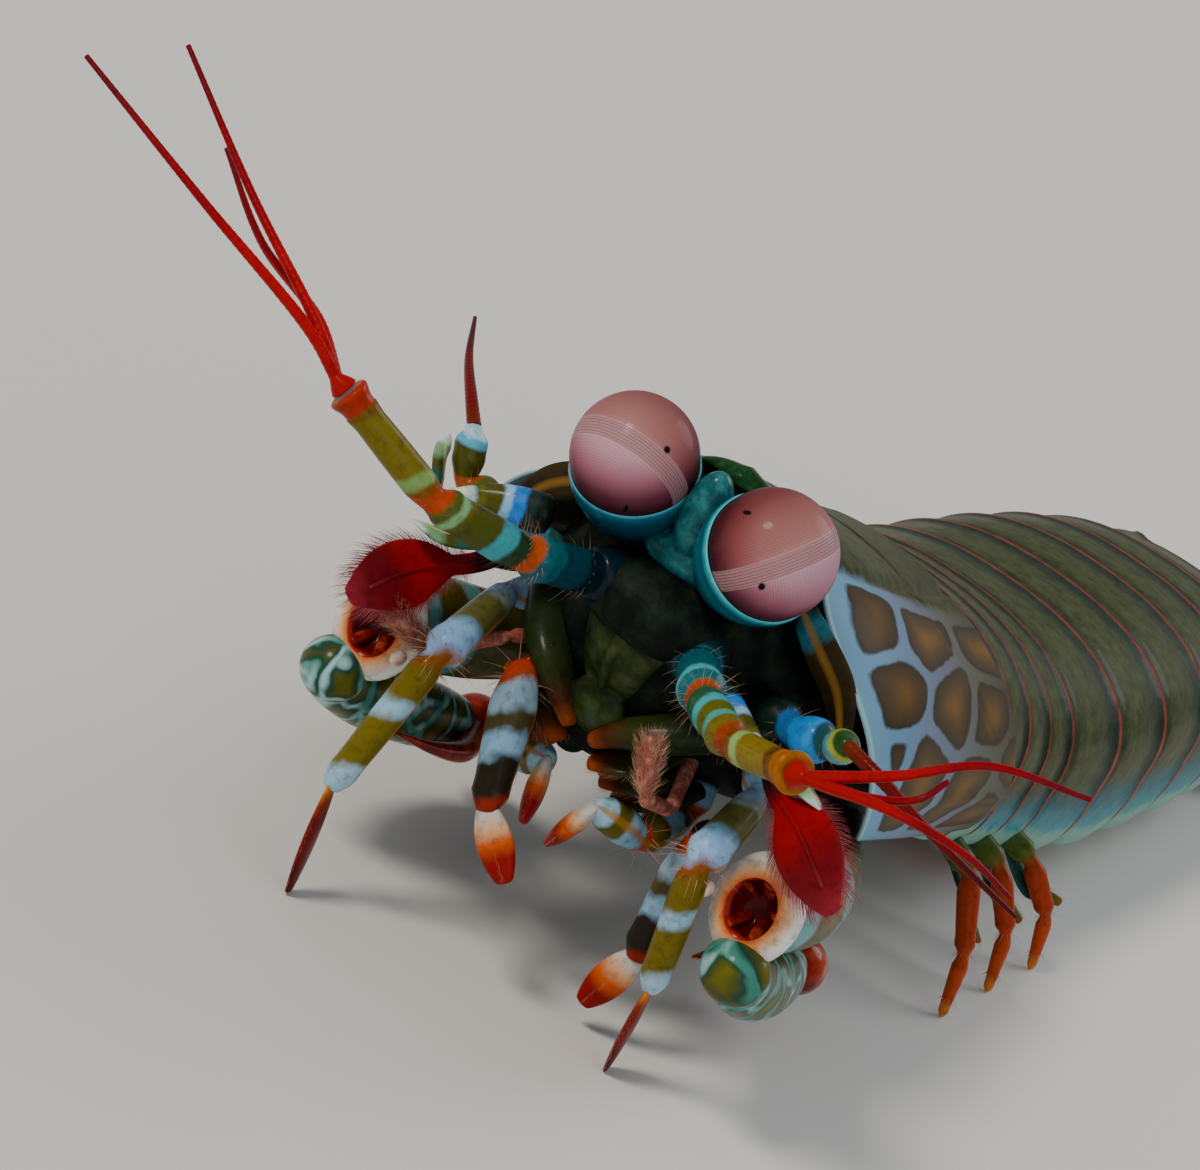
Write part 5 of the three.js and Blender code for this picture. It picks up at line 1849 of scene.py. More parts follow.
    def scale(self, side: Side) -> None:
        """Make the broad scale, its middle rib and its fringe."""
        face = (-0.3 * side.value, -0.9, 0.3)
        share = np.linspace(0, 1, 44)
        width = self.scale_width * np.sin(np.pi * mix(-0.7, 0.9, share))
        width = np.maximum(width, mix(0.65, 0.5, share))
        blade = Sweep(side.of(self.scales), width, 0.1 + 0.22 * (1 - share), face)
        inner = slice(4, 40)  # the rib stops short of both ends
        rib = Sweep(blade.path[inner], mix(0.42, 0.1, share[inner]), mix(0.55, 0.2, share[inner]), face)
        finish = BandedChitin(
            # Soft crimson blade, thin enough for light to come through its edge; near its root it is painted
            # near black as shade
            "crimson_scale_blade",
            bands=(
                (0.0, "#1c0a06"), (0.2, "#2c0a08"), (0.42, "#94080e"), (0.75, "#6c0814"), (0.95, "#84202c")
            ),
            softness=0.06,
            wobble=0.06,
            shade="#a87070",
            roughness=0.42,
            bump=0.03,
            glow=0.08,
        )
        shapes = [blade.shape(40), rib.shape(14)]
        self.bench.piece(f"scale_blade_{side}", shapes, finish, Slot.SCALE, [f"antennal_scale_{side}"])
        seta = MottledChitin(
            "rose_seta",  # feathery hair, pink at the root and clear at the tip
            tones=((0.35, "#84202e"), (0.65, "#b8505c")),
            coat=0.0,
            bump=0.0,
            glow=0.1,
        )
        rows = [fringe(blade, 260, 1.5, 0.42), fringe(blade, 200, 1.1, 0.4, 0.9)]
        self.bench.bristles(f"scale_fringe_{side}", rows, seta, Slot.SCALE, 0.022, 0.15, 0.14)

    def build(self) -> None:
        """Make both antennae."""
        for side in Side:
            self.base(side)
            self.whip(side)
            self.scale(side)


# Limbs of the head and chest


@dataclass
class Claws:
    """The striking claws: an upper stretch with an open socket, a hand and a hammer."""

    bench: Bench
    merus: tuple[Point, ...] = ((8.2, 19.5, 13.6), (11.6, 11.5, 12.6), (12.8, 4.5, 13.4), (12.4, -1.8, 13.9))
    wrist: Point = (13.4, -1.4, 10.4)
    hand: tuple[Point, ...] = ((13.6, -0.6, 9.6), (13.3, 5.0, 7.9), (12.4, 11.5, 6.3), (11.8, 15.0, 5.8))
    heel: Point = (11.6, 17.4, 5.4)
    finger: tuple[Point, ...] = ((11.4, 17.2, 5.4), (9.8, 13.0, 5.4), (9.5, 8.0, 6.4), (9.9, 2.6, 7.9))
    shifts: Pair[Point] = ((1.2, 2.0, -0.6), (0.0, 0.0, 0.0))
    knob: Point = (9.9, -2.4, 13.6)  # the white bead on the socket's inner edge
    fold: tuple[tuple[float, float], ...] = ((1.6, -0.3), (1.3, -0.8), (0.8, -1.5))  # out and along
    fold_turns: tuple[float, ...] = (35, 95, 165, 230, 300)  # degrees round the socket
    merus_bands: Stops = (
        (0.0, "#2c3614"), (0.3, "#4c4e14"), (0.5, "#5c9494"), (0.6, "#545010"), (0.78, "#6ca4ac"),
        (0.86, "#5c5418"), (0.89, "#f4f2ec"), (0.982, "#e8a464"), (0.992, "#d85010"),
        (1.004, "#a01408"), (1.045, "#5c0608"),
    )

    def moved(self, side: Side, points: Sequence[Point]) -> Array:
        """Points given for the left claw, moved to where this side holds its claw."""
        return np.array(side.mirror(points)) + side.of(self.shifts)

    def upper(self, side: Side) -> None:
        """Make the upper stretch, whose front end is a socket with a white rim, red inside."""
        share = np.linspace(0, 1, 56)
        full = 0.5 + 0.5 * np.sin(np.pi * mix(0.12, 0.8, share)) ** 0.8
        full = full + 0.25 * bell(share - 0.95, 0.05) - 0.05 * bell(share - 0.87, 0.04)
        full = full - 0.3 * np.clip((share - 0.955) / 0.045, 0, 1) ** 2
        rod = Sweep(self.moved(side, self.merus), 2.4 * full, 2.9 * full)
        finish = BandedChitin(
            # Heavy enamel-like shell: clouded olive, then a white rim that turns orange inside
            "enamel_merus_chitin",
            bands=self.merus_bands,
            length=1.1,
            softness=0.012,
            wobble=0.012,
            drift=2.0,
            coat=0.25,
        )
        shapes = [rod.shape(56, (0.4, -1.1))]
        self.bench.piece(f"claw_upper_{side}", shapes, finish, Slot.CLAW, [f"claw_merus_{side}"])
        folds = []
        for turn in np.radians(self.fold_turns):
            way = np.cos(turn) * rod.side[-1] + np.sin(turn) * rod.deep[-1]
            corners = [rod.path[-1] + reach * way + deep * rod.ahead[-1] for reach, deep in self.fold]
            folds.append(Sweep(corners, mix(0.42, 0.2, share[:16]), 0.2).shape(14))
        flesh = MottledChitin(
            "crimson_socket_flesh",  # wet folds of the joint skin, deep red with an orange bloom
            tones=((0.34, "#5c0806"), (0.54, "#84180a"), (0.7, "#c8582c")),
            blot=0.8,
            coat=0.2,
        )
        self.bench.piece(f"claw_socket_{side}", folds, flesh, Slot.CLAW)
        # Small smooth knob of thick enamel
        bead = MottledChitin("white_bead_chitin", tones=((0.4, "#d8a888"), (0.6, "#ece4dc")))
        knob = egg(self.moved(side, [self.knob])[0], (0, 1, 0), (0.42, 0.5, 0.6))
        self.bench.piece(f"claw_bead_{side}", [knob], bead, Slot.CLAW)

    def lower(self, side: Side) -> None:
        """Make the wrist and the hand folded back under the upper stretch."""
        full = 0.55 + 0.45 * np.sin(np.pi * taper(0.1, 0.95, 44)) ** 0.8
        palm = Sweep(self.moved(side, self.hand), 1.8 * full, 2.2 * full).shape(40)
        wrist = egg(self.moved(side, [self.wrist])[0], (0, -0.4, 1), (2.0, 1.9, 1.9))
        finish = NettedChitin("netted_hand_chitin", roughness=0.34, coat=0.25, bump=0.01)
        nodes = [f"claw_hand_{side}"]
        self.bench.piece(f"claw_palm_{side}", [palm, wrist], finish, Slot.CLAW, nodes, 0.16)

    def hammer(self, side: Side) -> None:
        """Make the hammer: a swollen heel and a pointed finger."""
        heel = egg(self.moved(side, [self.heel])[0], (0, 1, -0.3), (2.0, 1.9, 2.3))
        size = taper(1.3, 0.12, 44, 0.8)
        finger = Sweep(self.moved(side, self.finger), size, 1.05 * size).shape(24)
        finish = MottledChitin(
            "fired_red_hammer",  # dense mineral shell, hard and smooth like glazed porcelain
            tones=((0.32, "#5c0a04"), (0.5, "#941c06"), (0.68, "#c85018")),
            blot=2.4,
            roughness=0.24,
            coat=0.4,
            bump=0.004,
        )
        nodes = [f"claw_hammer_{side}"]
        self.bench.piece(f"claw_club_{side}", [heel, finger], finish, Slot.HAMMER, nodes, 0.12)

    def build(self) -> None:
        """Make both claws."""
        for side in Side:
            self.upper(side)
            self.lower(side)
            self.hammer(side)


@dataclass
class Holders:
    """The cleaning limb and the three holding limbs on each side, each with a round hand."""

    bench: Bench
    cleaners: Pair[tuple[Point, ...]] = (
        ((4.4, 7.0, 16.8), (6.2, 3.0, 14.0), (6.0, -1.6, 15.4), (4.8, -2.0, 18.4)),
        ((-5.0, 6.6, 17.6), (-6.9, 3.0, 16.6), (-9.4, -0.6, 14.4), (-11.1, -3.6, 16.0)),
    )
    numbers: tuple[int, ...] = (3, 4, 5)  # of the holding limbs, as each table below has them
    # Root, elbow, knee, wrist and the hand's tip of each limb
    limbs: Pair[tuple[tuple[Point, ...], ...]] = (
        (
            ((4.6, 11.0, 15.8), (5.6, 8.6, 12.4), (5.0, 4.6, 11.0), (2.8, 2.0, 12.0), (1.4, 2.2, 8.6)),
            ((7.0, 7.6, 18.6), (9.6, 4.6, 17.2), (10.3, -1.4, 14.2), (11.1, 0.6, 6.1), (11.0, 1.8, 0.25)),
            ((6.8, 13.0, 15.6), (8.0, 9.6, 13.0), (8.1, 5.0, 12.6), (8.6, 3.8, 5.6), (7.4, 3.6, 1.6)),
        ),
        (
            ((-4.4, 11.0, 15.8), (-5.2, 8.6, 11.6), (-3.8, 5.4, 10.4), (-1.4, 3.0, 12.0), (-0.4, 1.8, 8.8)),
            (
                (-7.0, 7.6, 18.6), (-8.9, 4.6, 18.2), (-7.7, -3.2, 15.4), (-8.5, -5.2, 6.5),
                (-7.5, -5.7, 0.25),
            ),
            ((-6.6, 13.0, 15.4), (-6.6, 8.6, 13.6), (-4.3, 0.6, 16.0), (-1.1, -2.5, 9.8), (1.8, -2.3, 7.0)),
        ),
    )
    bands: tuple[Stops, ...] = (
        (
            (0.0, "#2c3420"), (0.6, "#7cacc8"), (0.92, "#b04010"), (1.1, "#5c5414"), (1.4, "#84b4d0"),
            (1.7, "#5c5414"), (1.94, "#b04010"), (2.1, "#84b0cc"), (2.5, "#645a10"), (2.8, "#94c0d4"),
        ),
        (
            (0.0, "#303828"), (0.5, "#84aed4"), (1.04, "#94b8dc"), (1.2, "#869890"),
            (1.32, "#5c5a2c"), (1.66, "#6c98b4"), (1.74, "#94c0ec"), (1.98, "#8c4c10"),
            (2.08, "#6c5e08"), (2.34, "#94c0d8"), (2.46, "#6c6008"), (2.84, "#9cc4d8"),
        ),
        (
            (0.0, "#140e0a"), (0.8, "#1c120e"), (1.3, "#241810"), (1.6, "#382a18"), (1.9, "#b43408"),
            (2.03, "#a44418"), (2.08, "#9cc0d4"), (2.3, "#4c4224"), (2.46, "#80acc8"),
            (2.64, "#201c10"), (2.94, "#8c2008"),
        ),
    )
    hand_bands: tuple[Stops, ...] = (
        ((0.0, "#c4c4bc"), (0.2, "#dca878"), (0.38, "#c8500c"), (0.6, "#8c0c08")),
        ((0.0, "#c87c24"), (0.06, "#94300c"), (0.2, "#74100c"), (0.7, "#5c080c")),
        ((0.0, "#c4c4bc"), (0.2, "#dca878"), (0.38, "#c8500c"), (0.6, "#8c0c08")),
    )
    keels: tuple[str, ...] = ("#a87428", "#a87428", "#a4581c")  # colour of each limb's thin edge
    widths: tuple[float, ...] = (1.7, 1.8, 2.4, 1.6)
    # Depths of each limb at its joints, how much of the knee's goes on below it, and then its
    # hand's half width and half depth
    depths: tuple[tuple[tuple[float, ...], float, float, float], ...] = (
        ((1.6, 1.7, 2.0, 1.6), 1.0, 1.3, 0.6), ((1.6, 1.7, 2.3, 1.6), 0.8, 1.1, 0.3),
        ((1.6, 1.7, 2.2, 1.8), 1.3, 0.5, 1.05),
    )

    def cleaner(self, side: Side) -> None:
        """Make the slender first limb and its brush."""
        rod = Limb(side.of(self.cleaners), (0.9, 0.8, 0.9, 1.4), (0.9, 0.8, 0.9, 1.2)).sweep()
        finish = MottledChitin(
            "pink_cleaner_chitin",  # thin pink shell under a brush of hair
            tones=((0.3, "#7c3c30"), (0.5, "#a05c4c"), (0.7, "#c89080")),
            blot=0.5,
            glow=0.1,
        )
        nodes = [f"maxilliped_1_{side}"]
        self.bench.piece(f"cleaner_limb_{side}", [rod.shape(20)], finish, Slot.LIMB, nodes)
        dice = np.random.default_rng(11)
        count = 520
        share = 1 - 0.34 * dice.random(count) ** 1.2
        roots, out, ahead = rod.skin(share, dice.uniform(0, 2 * np.pi, count))
        brush = (roots, unit(out + 0.9 * ahead), ahead, np.full(count, 0.85))
        self.bench.bristles(f"cleaner_brush_{side}", [brush], SETA, Slot.LIMB, 0.02, 0.3, 0.3)

    def holder(self, side: Side, number: int) -> None:
        """Make one holding limb with its hand and its tufts."""
        row = self.numbers.index(number)
        *joints, tip = side.of(self.limbs)[row]
        face = (1.0, 0.2, 0.0)
        depths, below, hand_width, hand_depth = self.depths[row]
        rod = Limb(joints, self.widths, depths, face, neck=0.72, after=(1.0, 1.0, below)).sweep()
        finish = BandedChitin(
            # Flattened limb shell, milky blue and olive rings with a bright thin keel
            f"banded_holder_chitin_{number}",
            bands=self.bands[row],
            length=3.0,
            softness=0.035,
            wobble=0.07,
            slant=0.05,
            edge=self.keels[row],
            coat=0.2,
        )
        name, nodes = f"holder_{number}_{side}", [f"maxilliped_{number}_{side}"]
        self.bench.piece(name, [rod.shape(28)], finish, Slot.LIMB, nodes)
        full = np.sin(np.pi * taper(0.16, 0.86, 26)) ** 0.8
        wrist = joints[-1]
        corners = [wrist, mix(np.array(wrist), np.array(tip), 0.5), tip]
        disc = Sweep(corners, hand_width * full, hand_depth * full, face)
        tint = BandedChitin(
            # Small disc of smooth shell that runs to deep red
            f"flame_hand_chitin_{number}", bands=self.hand_bands[row], softness=0.09, wobble=0.08
        )
        self.bench.piece(f"holder_hand_{number}_{side}", [disc.shape(26)], tint, Slot.LIMB)
        tufts = [
            collar_tuft(rod, 0.65, 14, 1.7, 0.1, 0.2), collar_tuft(rod, 0.69, 12, 1.4, 0.3),
            collar_tuft(rod, 0.35, 12, 1.0, 0.4), fringe(disc, 60, 0.45, 0.25),
        ]
        self.bench.bristles(f"holder_hairs_{number}_{side}", tufts, SETA, Slot.LIMB, 0.016, 0.25, 0.5)

    def build(self) -> None:
        """Make all the limbs of both sides."""
        for side in Side:
            self.cleaner(side)
            for number in self.numbers:
                self.holder(side, number)


# Trunk


TRUNK = Stations(
    # y, height of the side line, half width, rise of the back, side plates' depth, belly's depth
    [
        [30, 16.3, 12.8, 9.1, 4.7, 6.4], [38, 14.9, 12.9, 8.9, 5.0, 6.2], [47, 13.4, 13.0, 8.7, 5.3, 6.0],
        [56, 12.3, 13.3, 8.5, 6.0, 5.8], [68, 11.5, 13.9, 8.4, 7.2, 5.5], [92, 11.0, 14.3, 8.4, 7.8, 5.4],
        [116, 10.0, 13.8, 8.0, 7.0, 5.2], [128, 9.2, 12.3, 7.2, 5.5, 5.0],
        [136, 8.6, 11.0, 6.4, 4.4, 4.8],
    ]
)
TAIL_START = 56.0  # y where the first tail somite begins
TAIL_STEP = 12.0  # from each tail somite to the next


@dataclass
class BodyRings:
    """Three chest somites and six tail somites, each tucked under the one in front."""

    bench: Bench
    neck_start: float = 31.4  # of the somite that the carapace half hides
    chest_start: float = 38.0
    chest_step: float = 6.0
    keel_angles: tuple[float, ...] = (18, 42, 66, 114, 138, 162)  # on the last somite, in degrees

    def ring(
        self, y: float, fullness: float, plate_share: float, inset: float, keels: float
    ) -> tuple[Array, Array]:
        """One ring of a somite.

        Args:
            y: Where it stands.
            fullness: Its size as a share of the trunk's.
            plate_share: How deep the side plates hang, as a share.
            inset: How far it is drawn in all round.
            keels: Height of the keels over the back.

        Returns:
            Its points, and how far down a side plate each one lies.
        """
        height, half, rise, plate_depth, belly = TRUNK.at(y)
        slope = float(TRUNK.at(y + 0.5)[0] - TRUNK.at(y - 0.5)[0])
        up = unit(np.array([0.0, -slope, 1.0]))
        bare, wide = half * fullness, half * fullness - inset
        plate = max(plate_depth * plate_share, belly * 0.72) - inset
        angle = np.linspace(0, np.pi, 73)
        tall = rise * fullness - inset
        bumps = sum(bell(np.degrees(angle) - place, 3.2) for place in self.keel_angles)
        out = 1 + keels * bumps / rise
        x = wide * np.sign(np.cos(angle)) * np.abs(np.cos(angle)) ** 0.87 * out
        top = np.stack([x, tall * np.sin(angle).clip(0) ** 0.87 * out], axis=-1)
        under = [
            (-wide, 0.0), (-0.995 * wide, -0.55 * plate), (-0.95 * wide, -0.93 * plate),
            (-0.87 * wide, -1.0 * plate), (-0.8 * bare, -0.93 * plate), (-0.68 * bare, -0.7 * belly),
            (0, -belly + inset),
        ]
        half_under = smooth_path(under, 40)
        other = half_under[::-1] * (-1, 1)
        flat = np.vstack([top[:-1], half_under, other[1:-1]])
        points = np.array([0.0, y, height]) + flat[:, :1] * np.array([1.0, 0, 0]) + flat[:, 1:] * up
        drop = np.clip(-flat[:, 1] / plate, 0, 1)
        return points, np.where(np.abs(flat[:, 0]) < 0.72 * bare, 0.0, drop)

    def somite(self, front: float, back: float, keels: float = 0.0) -> Shape:
        """One somite, narrower in front, with a thin rim behind that covers the next one.

        Args:
            front: Where it begins.
            back: Where it ends.
            keels: Height of the keels at its rear.

        Returns:
            The closed shape.
        """
        start, end = front + GAP / 2, back - GAP / 2
        profile = Stations(
            [[0, 0.968, 0.74], [0.18, 0.988, 0.93], [0.5, 1, 1], [0.86, 1.005, 0.95], [1, 1.022, 0.8]]
        )
        rows = [(start - 0.75, 0.93, 0.66, 0.5, 0.0, 0.0), (start - 0.6, 0.945, 0.7, 0.1, 0.0, 0.0)]
        for t in np.linspace(0, 1, 25):
            fullness, plate = profile.at(float(t))
            groove = 0.12 * float(bell(np.array(t - 0.16), 0.025))
            rows.append((mix(start, end, t), fullness, plate, groove, t, keels * t))
        rows += [
            (end + 0.04, 1.02, 0.79, 0.12, 1.0, keels), (end + 0.02, 1.0, 0.77, 0.3, 1.0, keels),
            (end - 0.9, 0.975, 0.74, 0.45, 1.0, 0.0), (end - 1.0, 0.9, 0.7, 0.8, 1.0, 0.0),
        ]
        made = [self.ring(y, full, plate, inset, keel) for y, full, plate, inset, _, keel in rows]
        return Shape.from_rings(
            np.array([points for points, _ in made]),
            np.array([row[4] for row in rows]),
            (0.0, 0.0),
            {"drop": np.array([drop for _, drop in made])},
        )

    def hind_points(self, y: float) -> list[Shape]:
        """Short spines where the last somite's keels end."""
        height, half, rise = TRUNK.at(y)[:3]
        size = taper(0.75, 0.06, 10)
        spines = []
        for turn in np.radians(self.keel_angles):
            root, tip = (
                np.array([out * half * math.cos(turn), y + behind, height + out * rise * math.sin(turn)])
                for out, behind in ((0.93, -1.6), (1.03, 0.9))
            )
            spines.append(Sweep([root, tip], size, 0.8 * size).shape(12).ranged(0.9, 1.0))
        return spines

    def build(self) -> None:
        """Make the nine somites and the one half hidden by the carapace."""
        finish = SomiteChitin("olive_somite_chitin", roughness=0.48, coat=0.1, bump=0.03)
        hidden = self.somite(self.neck_start, self.chest_start)
        self.bench.piece("chest_ring_5", [hidden], finish, Slot.BODY)
        for index in range(3):
            front = self.chest_start + self.chest_step * index
            shapes = [self.somite(front, front + self.chest_step)]
            nodes = [f"thorax_{index + 6}"]
            self.bench.piece(f"chest_ring_{index + 6}", shapes, finish, Slot.BODY, nodes)
        for index in range(6):
            front = TAIL_START + TAIL_STEP * index
            back = front + TAIL_STEP
            last = index == 5
            shapes = [self.somite(front, back, 0.45 if last else 0.0)]
            if last:
                shapes += self.hind_points(back - GAP / 2)
            nodes = [f"abdomen_{index + 1}"]
            self.bench.piece(f"tail_ring_{index + 1}", shapes, finish, Slot.BODY, nodes)


@dataclass
class Legs:
    """Three pairs of walking legs and five pairs of swimming legs."""

    bench: Bench
    walker_start: float = 42.6
    walker_step: float = 5.9
    paddle_shift: float = 1.6  # from the front of a tail somite to its legs

    def walking(self, side: Side, index: int) -> None:
        """Make one walking leg, its thin branch and its hairs."""
        y = self.walker_start + self.walker_step * index
        height, half, _, _, belly = TRUNK.at(y)
        sign = side.value
        hip = (sign * half * 0.6, y, height - belly * 0.55)
        knee = (sign * (half + 1.6), y + 1.4 * (index - 1), height - belly * 0.9)
        ankle = (sign * (half + 4.4), y + 2.6 * (index - 1), 4.2)
        foot = (sign * (half + 5.4), y + 3.2 * (index - 1), 0.15)
        rod = Limb((hip, knee, ankle, foot), (2.0, 1.8, 1.4, 0.7), (1.8, 1.6, 1.2, 0.6), (1, 0, 0)).sweep()
        corners = [
            mix(np.array(hip), np.array(knee), 0.6), np.array(knee) + (sign * 0.6, 1, -2),
            np.array(ankle) + (0, 1.6, 0.8),
        ]
        size = 0.25 + 0.5 * np.sin(np.pi * taper(0.2, 0.95, 24))
        lobe = Sweep(corners, size, 0.22, (1, 0, 0))
        finish = BandedChitin(
            # Slim red-orange leg shell, bluish where it leaves the body
            "orange_leg_chitin",
            bands=((0.0, "#1c4a40"), (0.7, "#4c5c1c"), (1.0, "#a03408"), (2.0, "#b44010"), (2.8, "#cc7828")),
            length=3.0,
            softness=0.1,
            wobble=0.08,
        )
        word = f"{index + 1}_{side}"
        shapes = [rod.shape(24), lobe.shape(16)]
        self.bench.piece(f"walker_{word}", shapes, finish, Slot.WALKING, [f"walking_leg_{word}"])
        tufts = [
            collar_tuft(rod, 0.66, 10, 0.9, 0.6), collar_tuft(rod, 0.9, 12, 0.8, 0.8),
            fringe(lobe, 40, 0.7, 0.4),
        ]
        self.bench.bristles(f"walker_hairs_{word}", tufts, SETA, Slot.WALKING, 0.018)

    def swimming(self, side: Side, index: int) -> None:
        """Make one swimming leg: two fringed leaves."""
        y = TAIL_START + TAIL_STEP * index + self.paddle_shift
        height, half, _, _, belly = TRUNK.at(y)
        sign = side.value
        root = np.array([sign * half * 0.42, y, height - belly * 0.72])
        finish = BandedChitin(
            # Thin leaves, pale at the root and red towards the fringe
            "red_paddle_chitin",
            bands=((0.0, "#707c50"), (0.4, "#a0601c"), (0.75, "#a02408")),
            softness=0.12,
            wobble=0.1,
            glow=0.1,
        )
        size = mix(0.9, 2.4, np.sin(np.pi * taper(0.05, 0.85, 30)))
        leaves, tufts = [], []
        for spread in (2.6, -1.4):
            middle = (root[0] + sign * spread * 0.5, y + 4, root[2] * 0.55)
            tip = (root[0] + sign * spread, y + 8, 1.2)
            leaf = Sweep([root, middle, tip], size, taper(0.4, 0.12, 30))
            leaves.append(leaf.shape(24))
            tufts.append(fringe(leaf, 170, 1.35, 0.3))
        word = f"{index + 1}_{side}"
        self.bench.piece(f"paddle_{word}", leaves, finish, Slot.SWIMMING, [f"pleopod_{word}"])
        name = f"paddle_fringe_{word}"
        self.bench.bristles(name, tufts, SCARLET_SETA, Slot.SWIMMING, 0.025, 0.1, 0.08)

    def build(self) -> None:
        """Make all the legs."""
        for side in Side:
            for index in range(3):
                self.walking(side, index)
            for index in range(5):
                self.swimming(side, index)


@dataclass
class TailFan:
    """The telson with its keels and spines, and the two uropods."""

    bench: Bench
    lean: float = 0.07
    # Each keel's distance from the middle line at its root and its tip, and the y of both
    keels: tuple[tuple[float, float, float, float], ...] = (
        (0, 0, 130.5, 144.8), (4, 2.6, 131.5, 143.8), (7.8, 6, 132.2, 141.6)
    )
    # Root, tip and half width of each spine
    spines: tuple[tuple[Point, Point, float], ...] = (
        ((2.6, 144.6, 3.2), (3.2, 151.2, 1.9), 1.3), ((7.2, 142.6, 3.9), (8.2, 148.6, 2.0), 1.2),
        ((10.8, 138.4, 4.9), (12.4, 144.6, 2.9), 1.1),
    )
    plate_bands: Stops = (
        (0.0, "#142c1c"), (0.15, "#2c4414"), (0.45, "#1c5030"), (0.7, "#0c5858"), (0.86, "#984010"),
        (0.94, "#a81c08"),
    )
    rows: Stations = Stations(
        [
            [128.15, 8.9, 10.6, 5.6, 3.2], [131.5, 7.9, 12.0, 5.4, 2.6], [136, 6.4, 12.3, 4.8, 2.0],
            [140.5, 4.9, 11.0, 3.6, 1.5], [144, 3.8, 8.4, 2.5, 1.1], [146.5, 3.0, 5.0, 1.4, 0.8],
        ]
    )

    def telson(self) -> None:
        """Make the plate, its keels, its six spines and its teeth."""
        places = self.rows.spread(70)
        height, half, rise, depth = (self.rows.at(places)[:, k : k + 1] for k in range(4))
        angle = np.linspace(0, 2 * np.pi, 120, endpoint=False)
        lift = np.where(np.sin(angle) > 0, rise, depth) * np.sin(angle)
        x = half * np.cos(angle)
        y = places[:, None] + self.lean * lift
        on_top = soft_step(np.sin(angle) * 6)
        keels = 0
        for root, tip, first, last in self.keels:
            for sign in (-1, 1) if root else (1,):
                line = sign * mix(root, tip, (y - first) / (last - first))
                reach = soft_step((y - first + 0.6) / 1.5) * soft_step((last - y + 0.6) / 1.2)
                keels = keels + 0.85 * bell(x - line, 0.55) * reach
        beads = 0.1 * np.sin(y * 2.6) * np.sin(x * 2.1) * on_top
        rings = np.stack([x, y, height + lift + (keels + beads) * on_top], axis=-1)
        shapes = [Shape.from_rings(rings, np.linspace(0, 1, len(places)), (0.05, 0.3))]
        for root, tip, size in self.spines:
            for side in Side:
                ends = side.mirror([root, tip])
                spine = Sweep(ends, taper(size, 0.12, 20), 0.75 * taper(size, 0.16, 20))
                shapes.append(spine.shape(20).ranged(0.86, 1.0))
        for side in Side:
            for step in np.linspace(0, 1, 9):
                edge = mix(145.9, 146.6, math.sin(math.pi * step))
                root = (side.value * mix(0.5, 4.4, step), edge - 0.8, 2.9)
                tooth = Sweep([root, (root[0], edge + 0.6, 2.7)], taper(0.24, 0.05, 8), taper(0.2, 0.05, 8))
                shapes.append(tooth.shape(8).ranged(0.9, 1.0))
        finish = BandedChitin(
            # Thick sculptured plate: green between the keels, red along the teeth
            "keeled_telson_chitin",
            bands=self.plate_bands,
            softness=0.05,
            wobble=0.06,
            drift=2.2,
            bump=0.03,
        )
        self.bench.piece("tail_plate", shapes, finish, Slot.FAN, ["telson"])

    def uropod(self, side: Side) -> None:
        """Make one uropod: its stem and fork, two fringed paddles and a row of spines."""

        def rod(corners: Sequence[Point], width: Array, depth: Array | float) -> Sweep:
            """A rod for this side, from points given for the left."""
            return Sweep(side.mirror(corners), width, depth)

        bulge = np.sin(np.pi * taper(0.05, 0.84, 30))
        stem = rod([(9.2, 124.5, 4.9), (12.6, 129.2, 3.3), (14.2, 133.6, 1.8)], np.full(30, 1.9), 1.5)
        path = [(13.2, 131.5, 2.2), (14.2, 137, 1.7), (14.0, 143.5, 1.4)]
        fork = rod(path, taper(1.3, 0.12, 30), taper(0.9, 0.12, 30))
        path = [(14.6, 132.6, 1.2), (18.2, 139.5, 0.75), (20.0, 148.4, 0.65)]
        outer = rod(path, mix(1.2, 3.1, bulge), 0.5)
        path = [(13.8, 133, 1.0), (14.4, 139.5, 0.7), (14.6, 146.4, 0.65)]
        inner = rod(path, mix(1.0, 2.0, bulge), 0.45)
        shapes = [stem.shape(24), fork.shape(16), outer.shape(28), inner.shape(24)]
        for t in np.linspace(0, 1, 9):
            root = np.array([mix(15.6, 20.4, t), mix(134.6, 140.8, t), mix(1.3, 0.8, t)])
            tip = root + (mix(1.7, 2.1, t), mix(1.3, 2.9, t), 0.3)
            spine = rod([root, tip], taper(0.42, 0.05, 30), taper(0.34, 0.05, 30))
            shapes.append(spine.shape(10).ranged(0.8, 1.0))
        finish = BandedChitin(
            # Smooth paddles, blue-green at the root and orange-red to the edge
            "peacock_uropod_chitin",
            bands=(
                (0.0, "#12442c"), (0.2, "#0c5c66"), (0.45, "#146c94"), (0.62, "#a85410"), (0.8, "#a81c08")
            ),
            softness=0.06,
            wobble=0.08,
        )
        self.bench.piece(f"tail_paddle_{side}", shapes, finish, Slot.FAN, [f"uropod_{side}"])
        tufts = [fringe(outer, 320, 1.9, 0.42), fringe(inner, 230, 1.7, 0.3)]
        self.bench.bristles(f"tail_fringe_{side}", tufts, SCARLET_SETA, Slot.FAN, 0.03, 0.08, 0.06)

    def build(self) -> None:
        """Make the telson and both uropods."""
        self.telson()
        for side in Side:
            self.uropod(side)


# Stage


